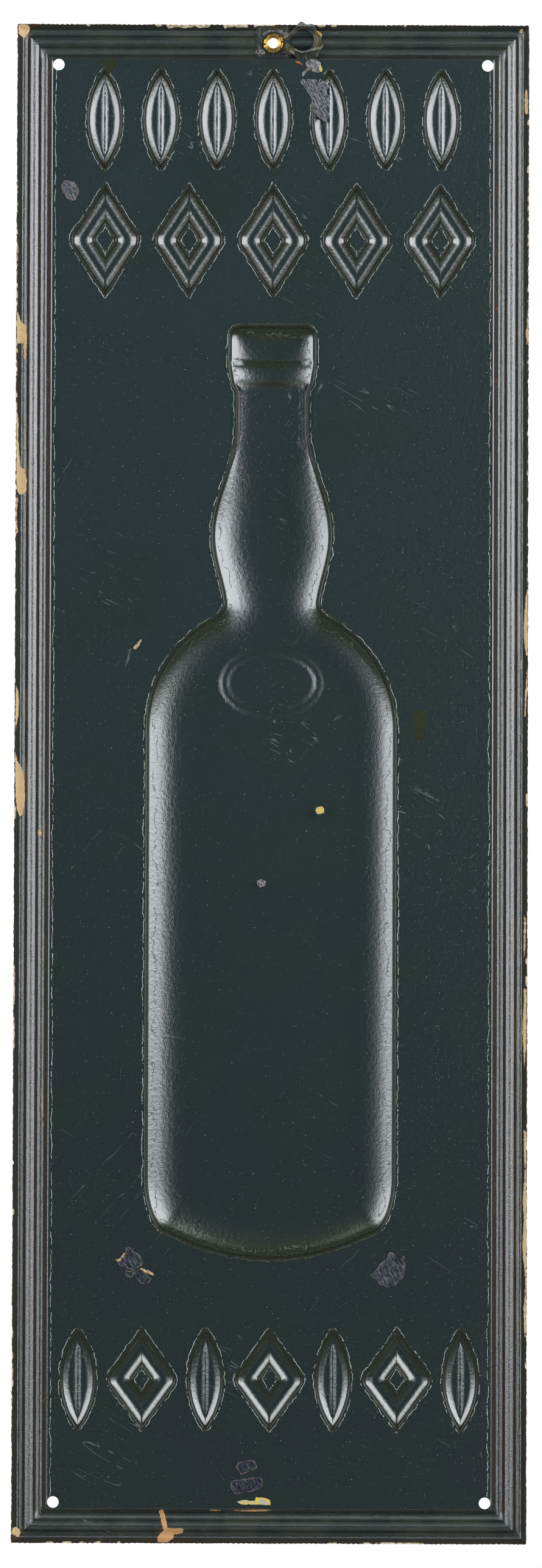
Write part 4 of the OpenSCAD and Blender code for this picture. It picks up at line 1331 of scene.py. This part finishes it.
border_shape, border_loop = border()
bottle_shape, bottle_opening = bottle()
top_shape, top_openings = ornament(True)
bottom_shape, bottom_openings = ornament(False)
field_shape = field(border_loop, [bottle_opening] + top_openings + bottom_openings)
for name, shape, materials in (
        ("border", border_shape, (BACK, FRONT_BORDER, BACK_DULL)),
        ("field", field_shape, (BACK, FRONT_FIELD, BACK_DULL)),
        ("bottle", bottle_shape, (BACK, FRONT_BOTTLE, BACK_DULL)),
        ("ornament_top", top_shape, (BACK, FRONT_ORNAMENT, BACK_DULL)),
        ("ornament_bottom", bottom_shape, (BACK, FRONT_ORNAMENT, BACK_DULL)),
        ("sheet_edge", sheet_edge(), (EDGE,) * 3),
        ("bare_tin", flakes(BARE_TIN, 0.03, 0.1, 300), (TIN,) * 3),
        ("undercoat", flakes(UNDERCOAT, 0.045, 0.07, 400), (CREAM,) * 3),
        ("old_film", flakes(OLD_FILM, 0.025, 0.1, 500), (FILM,) * 3)):
    piece(name, "sign", "panel", "painted_tin", *shape, materials=materials)
piece("eyelet_ring", "sign", "eyelet", "brass", *eyelet(), materials=(BRASS,), crease=50)
piece("hanging_ring", "hanger", "hanger", "hanger_tin", *hanger(), materials=(WORN_TIN,) * 3, crease=50)


# Soft boxes on the +X side, then on the other: strength, and where the bright part's inner side and foot lie
SOFT_LIGHT = (3.75, 4.35)
SOFT_STEP = (-0.75, -1.05)
SOFT_RISE = (-0.32, -0.25)
SOFT_TURN = math.radians(48)
SOFT_WIDTH = 2.9
SOFT_HEIGHT = 1.75
SOFT_LOW = -0.42
SOFT_TOP = SOFT_LOW + SOFT_HEIGHT
SOFT_AWAY = 2.0
WORLD_LIGHT = 0.13
FLOOR_HALF = 1.25
FLOOR_Z = -0.5


def camera():
    """A long lens behind the sign, a little below its middle, rolled as the photograph is."""
    distance = 2.5
    below = math.radians(2.0)
    roll = math.radians(0.184)
    frame_height = 0.5156
    aim = Vector((0, 0, -0.0008))
    data = bpy.data.cameras.new("camera")
    data.sensor_fit = "VERTICAL"
    data.sensor_height = 36
    data.lens = data.sensor_height * distance / frame_height
    out = Vector((0, math.cos(below), -math.sin(below)))
    turn = out.to_track_quat("Z", "Y").to_matrix() @ Matrix.Rotation(roll, 3, "Z")
    made = in_scene("camera", data)
    made.matrix_world = Matrix.Translation(aim + out * distance) @ turn.to_4x4()
    bpy.context.scene.camera = made


def glow(name, inner, dim):
    """A soft box's light: weak at its inner side, given as -1 or 1 along its width, at its foot and top."""
    material = bpy.data.materials.new(name)
    box = Nodes(material)
    box.tree.nodes.clear()
    x, y, _ = box.split("SeparateXYZ", box.node("TexCoord", output="Object"))
    across = x * -inner
    height = y + (SOFT_LOW + SOFT_HEIGHT / 2)
    side, foot = SOFT_STEP[dim], SOFT_RISE[dim]
    power = across.step(-SOFT_WIDTH / 2, side, 0, 0.25) + across.step(side - 0.12, side + 0.12, 0, 0.75)
    power = power * SOFT_LIGHT[dim] * height.step(SOFT_LOW, SOFT_LOW + 0.06)
    power = power * height.step(foot, foot + 0.3, 0.12, 1.0) * height.step(SOFT_TOP, SOFT_TOP - 0.5)
    box.show("Emission", {"Color": (0.94, 0.97, 1.0, 1.0), "Strength": power}, "OutputMaterial")
    return material


def slab(name, width, height, level, material):
    """A flat four-sided piece of the studio, square to Z."""
    corners = [(x * width / 2, y * height / 2, level) for x, y in ((-1, -1), (1, -1), (1, 1), (-1, 1))]
    mesh = bpy.data.meshes.new(name)
    mesh.from_pydata(corners, [], [(0, 1, 2, 3)])
    mesh.materials.append(material)
    made = in_scene(name, mesh)
    return made


def card(name, middle, width, height, material, level=False):
    """A flat card that faces the sign or lies level, seen by it and not by the camera."""
    made = slab(name, width, height, 0, material)
    middle = Vector(middle)
    turn = Vector((-middle.x, -middle.y, 0)).to_track_quat("Z", "Y").to_matrix().to_4x4()
    made.matrix_world = Matrix.Translation(middle) @ (Matrix() if level else turn)
    made.visible_camera = made.visible_shadow = False
    return made


def studio():
    """White surroundings, tall soft boxes on both sides, a dark card before the back and a pale floor."""
    world = bpy.data.worlds.new("studio")
    bpy.context.scene.world = world
    sky = Nodes(world)
    sky.tree.nodes.clear()
    strength = sky.seen() * (1 - WORLD_LIGHT) + WORLD_LIGHT
    sky.show("Background", {"Color": (1, 1, 1, 1), "Strength": strength}, "OutputWorld")
    for side in (-1, 1):
        for face in (-1, 1):
            name = "soft_box" + ("_minus", "_plus")[side > 0] + ("_front", "_back")[face > 0]
            middle = (side * SOFT_AWAY * math.sin(SOFT_TURN), face * SOFT_AWAY * math.cos(SOFT_TURN),
                      SOFT_LOW + SOFT_HEIGHT / 2)
            card(name, middle, SOFT_WIDTH, SOFT_HEIGHT, glow(name, -side * face, side < 0))
    dark = Paint("dark_card", Base_Color=(0.01, 0.01, 0.01, 1), Roughness=1).material
    card("dark_card_back", (0, 1.8, 1.4), 0.9, 5.2, dark)
    for name, z in (("dark_card_low", SOFT_LOW - 0.04), ("dark_card_high", SOFT_TOP + 0.1)):
        flag = card(name, (0, 0.95, z), 3.2, 1.8, dark, level=True)
        flag.visible_diffuse = flag.visible_transmission = False
    pale = Paint("pale_floor", Base_Color=(0.8, 0.8, 0.8, 1), Roughness=0.9, Emission_Color=(1, 1, 1, 1))
    pale.feed(pale.shader.inputs["Emission Strength"], pale.seen() * 0.35)
    slab("floor", 2 * FLOOR_HALF, 2 * FLOOR_HALF, FLOOR_Z, pale.material)


camera()
studio()
bpy.context.scene.view_settings.view_transform = "Standard"
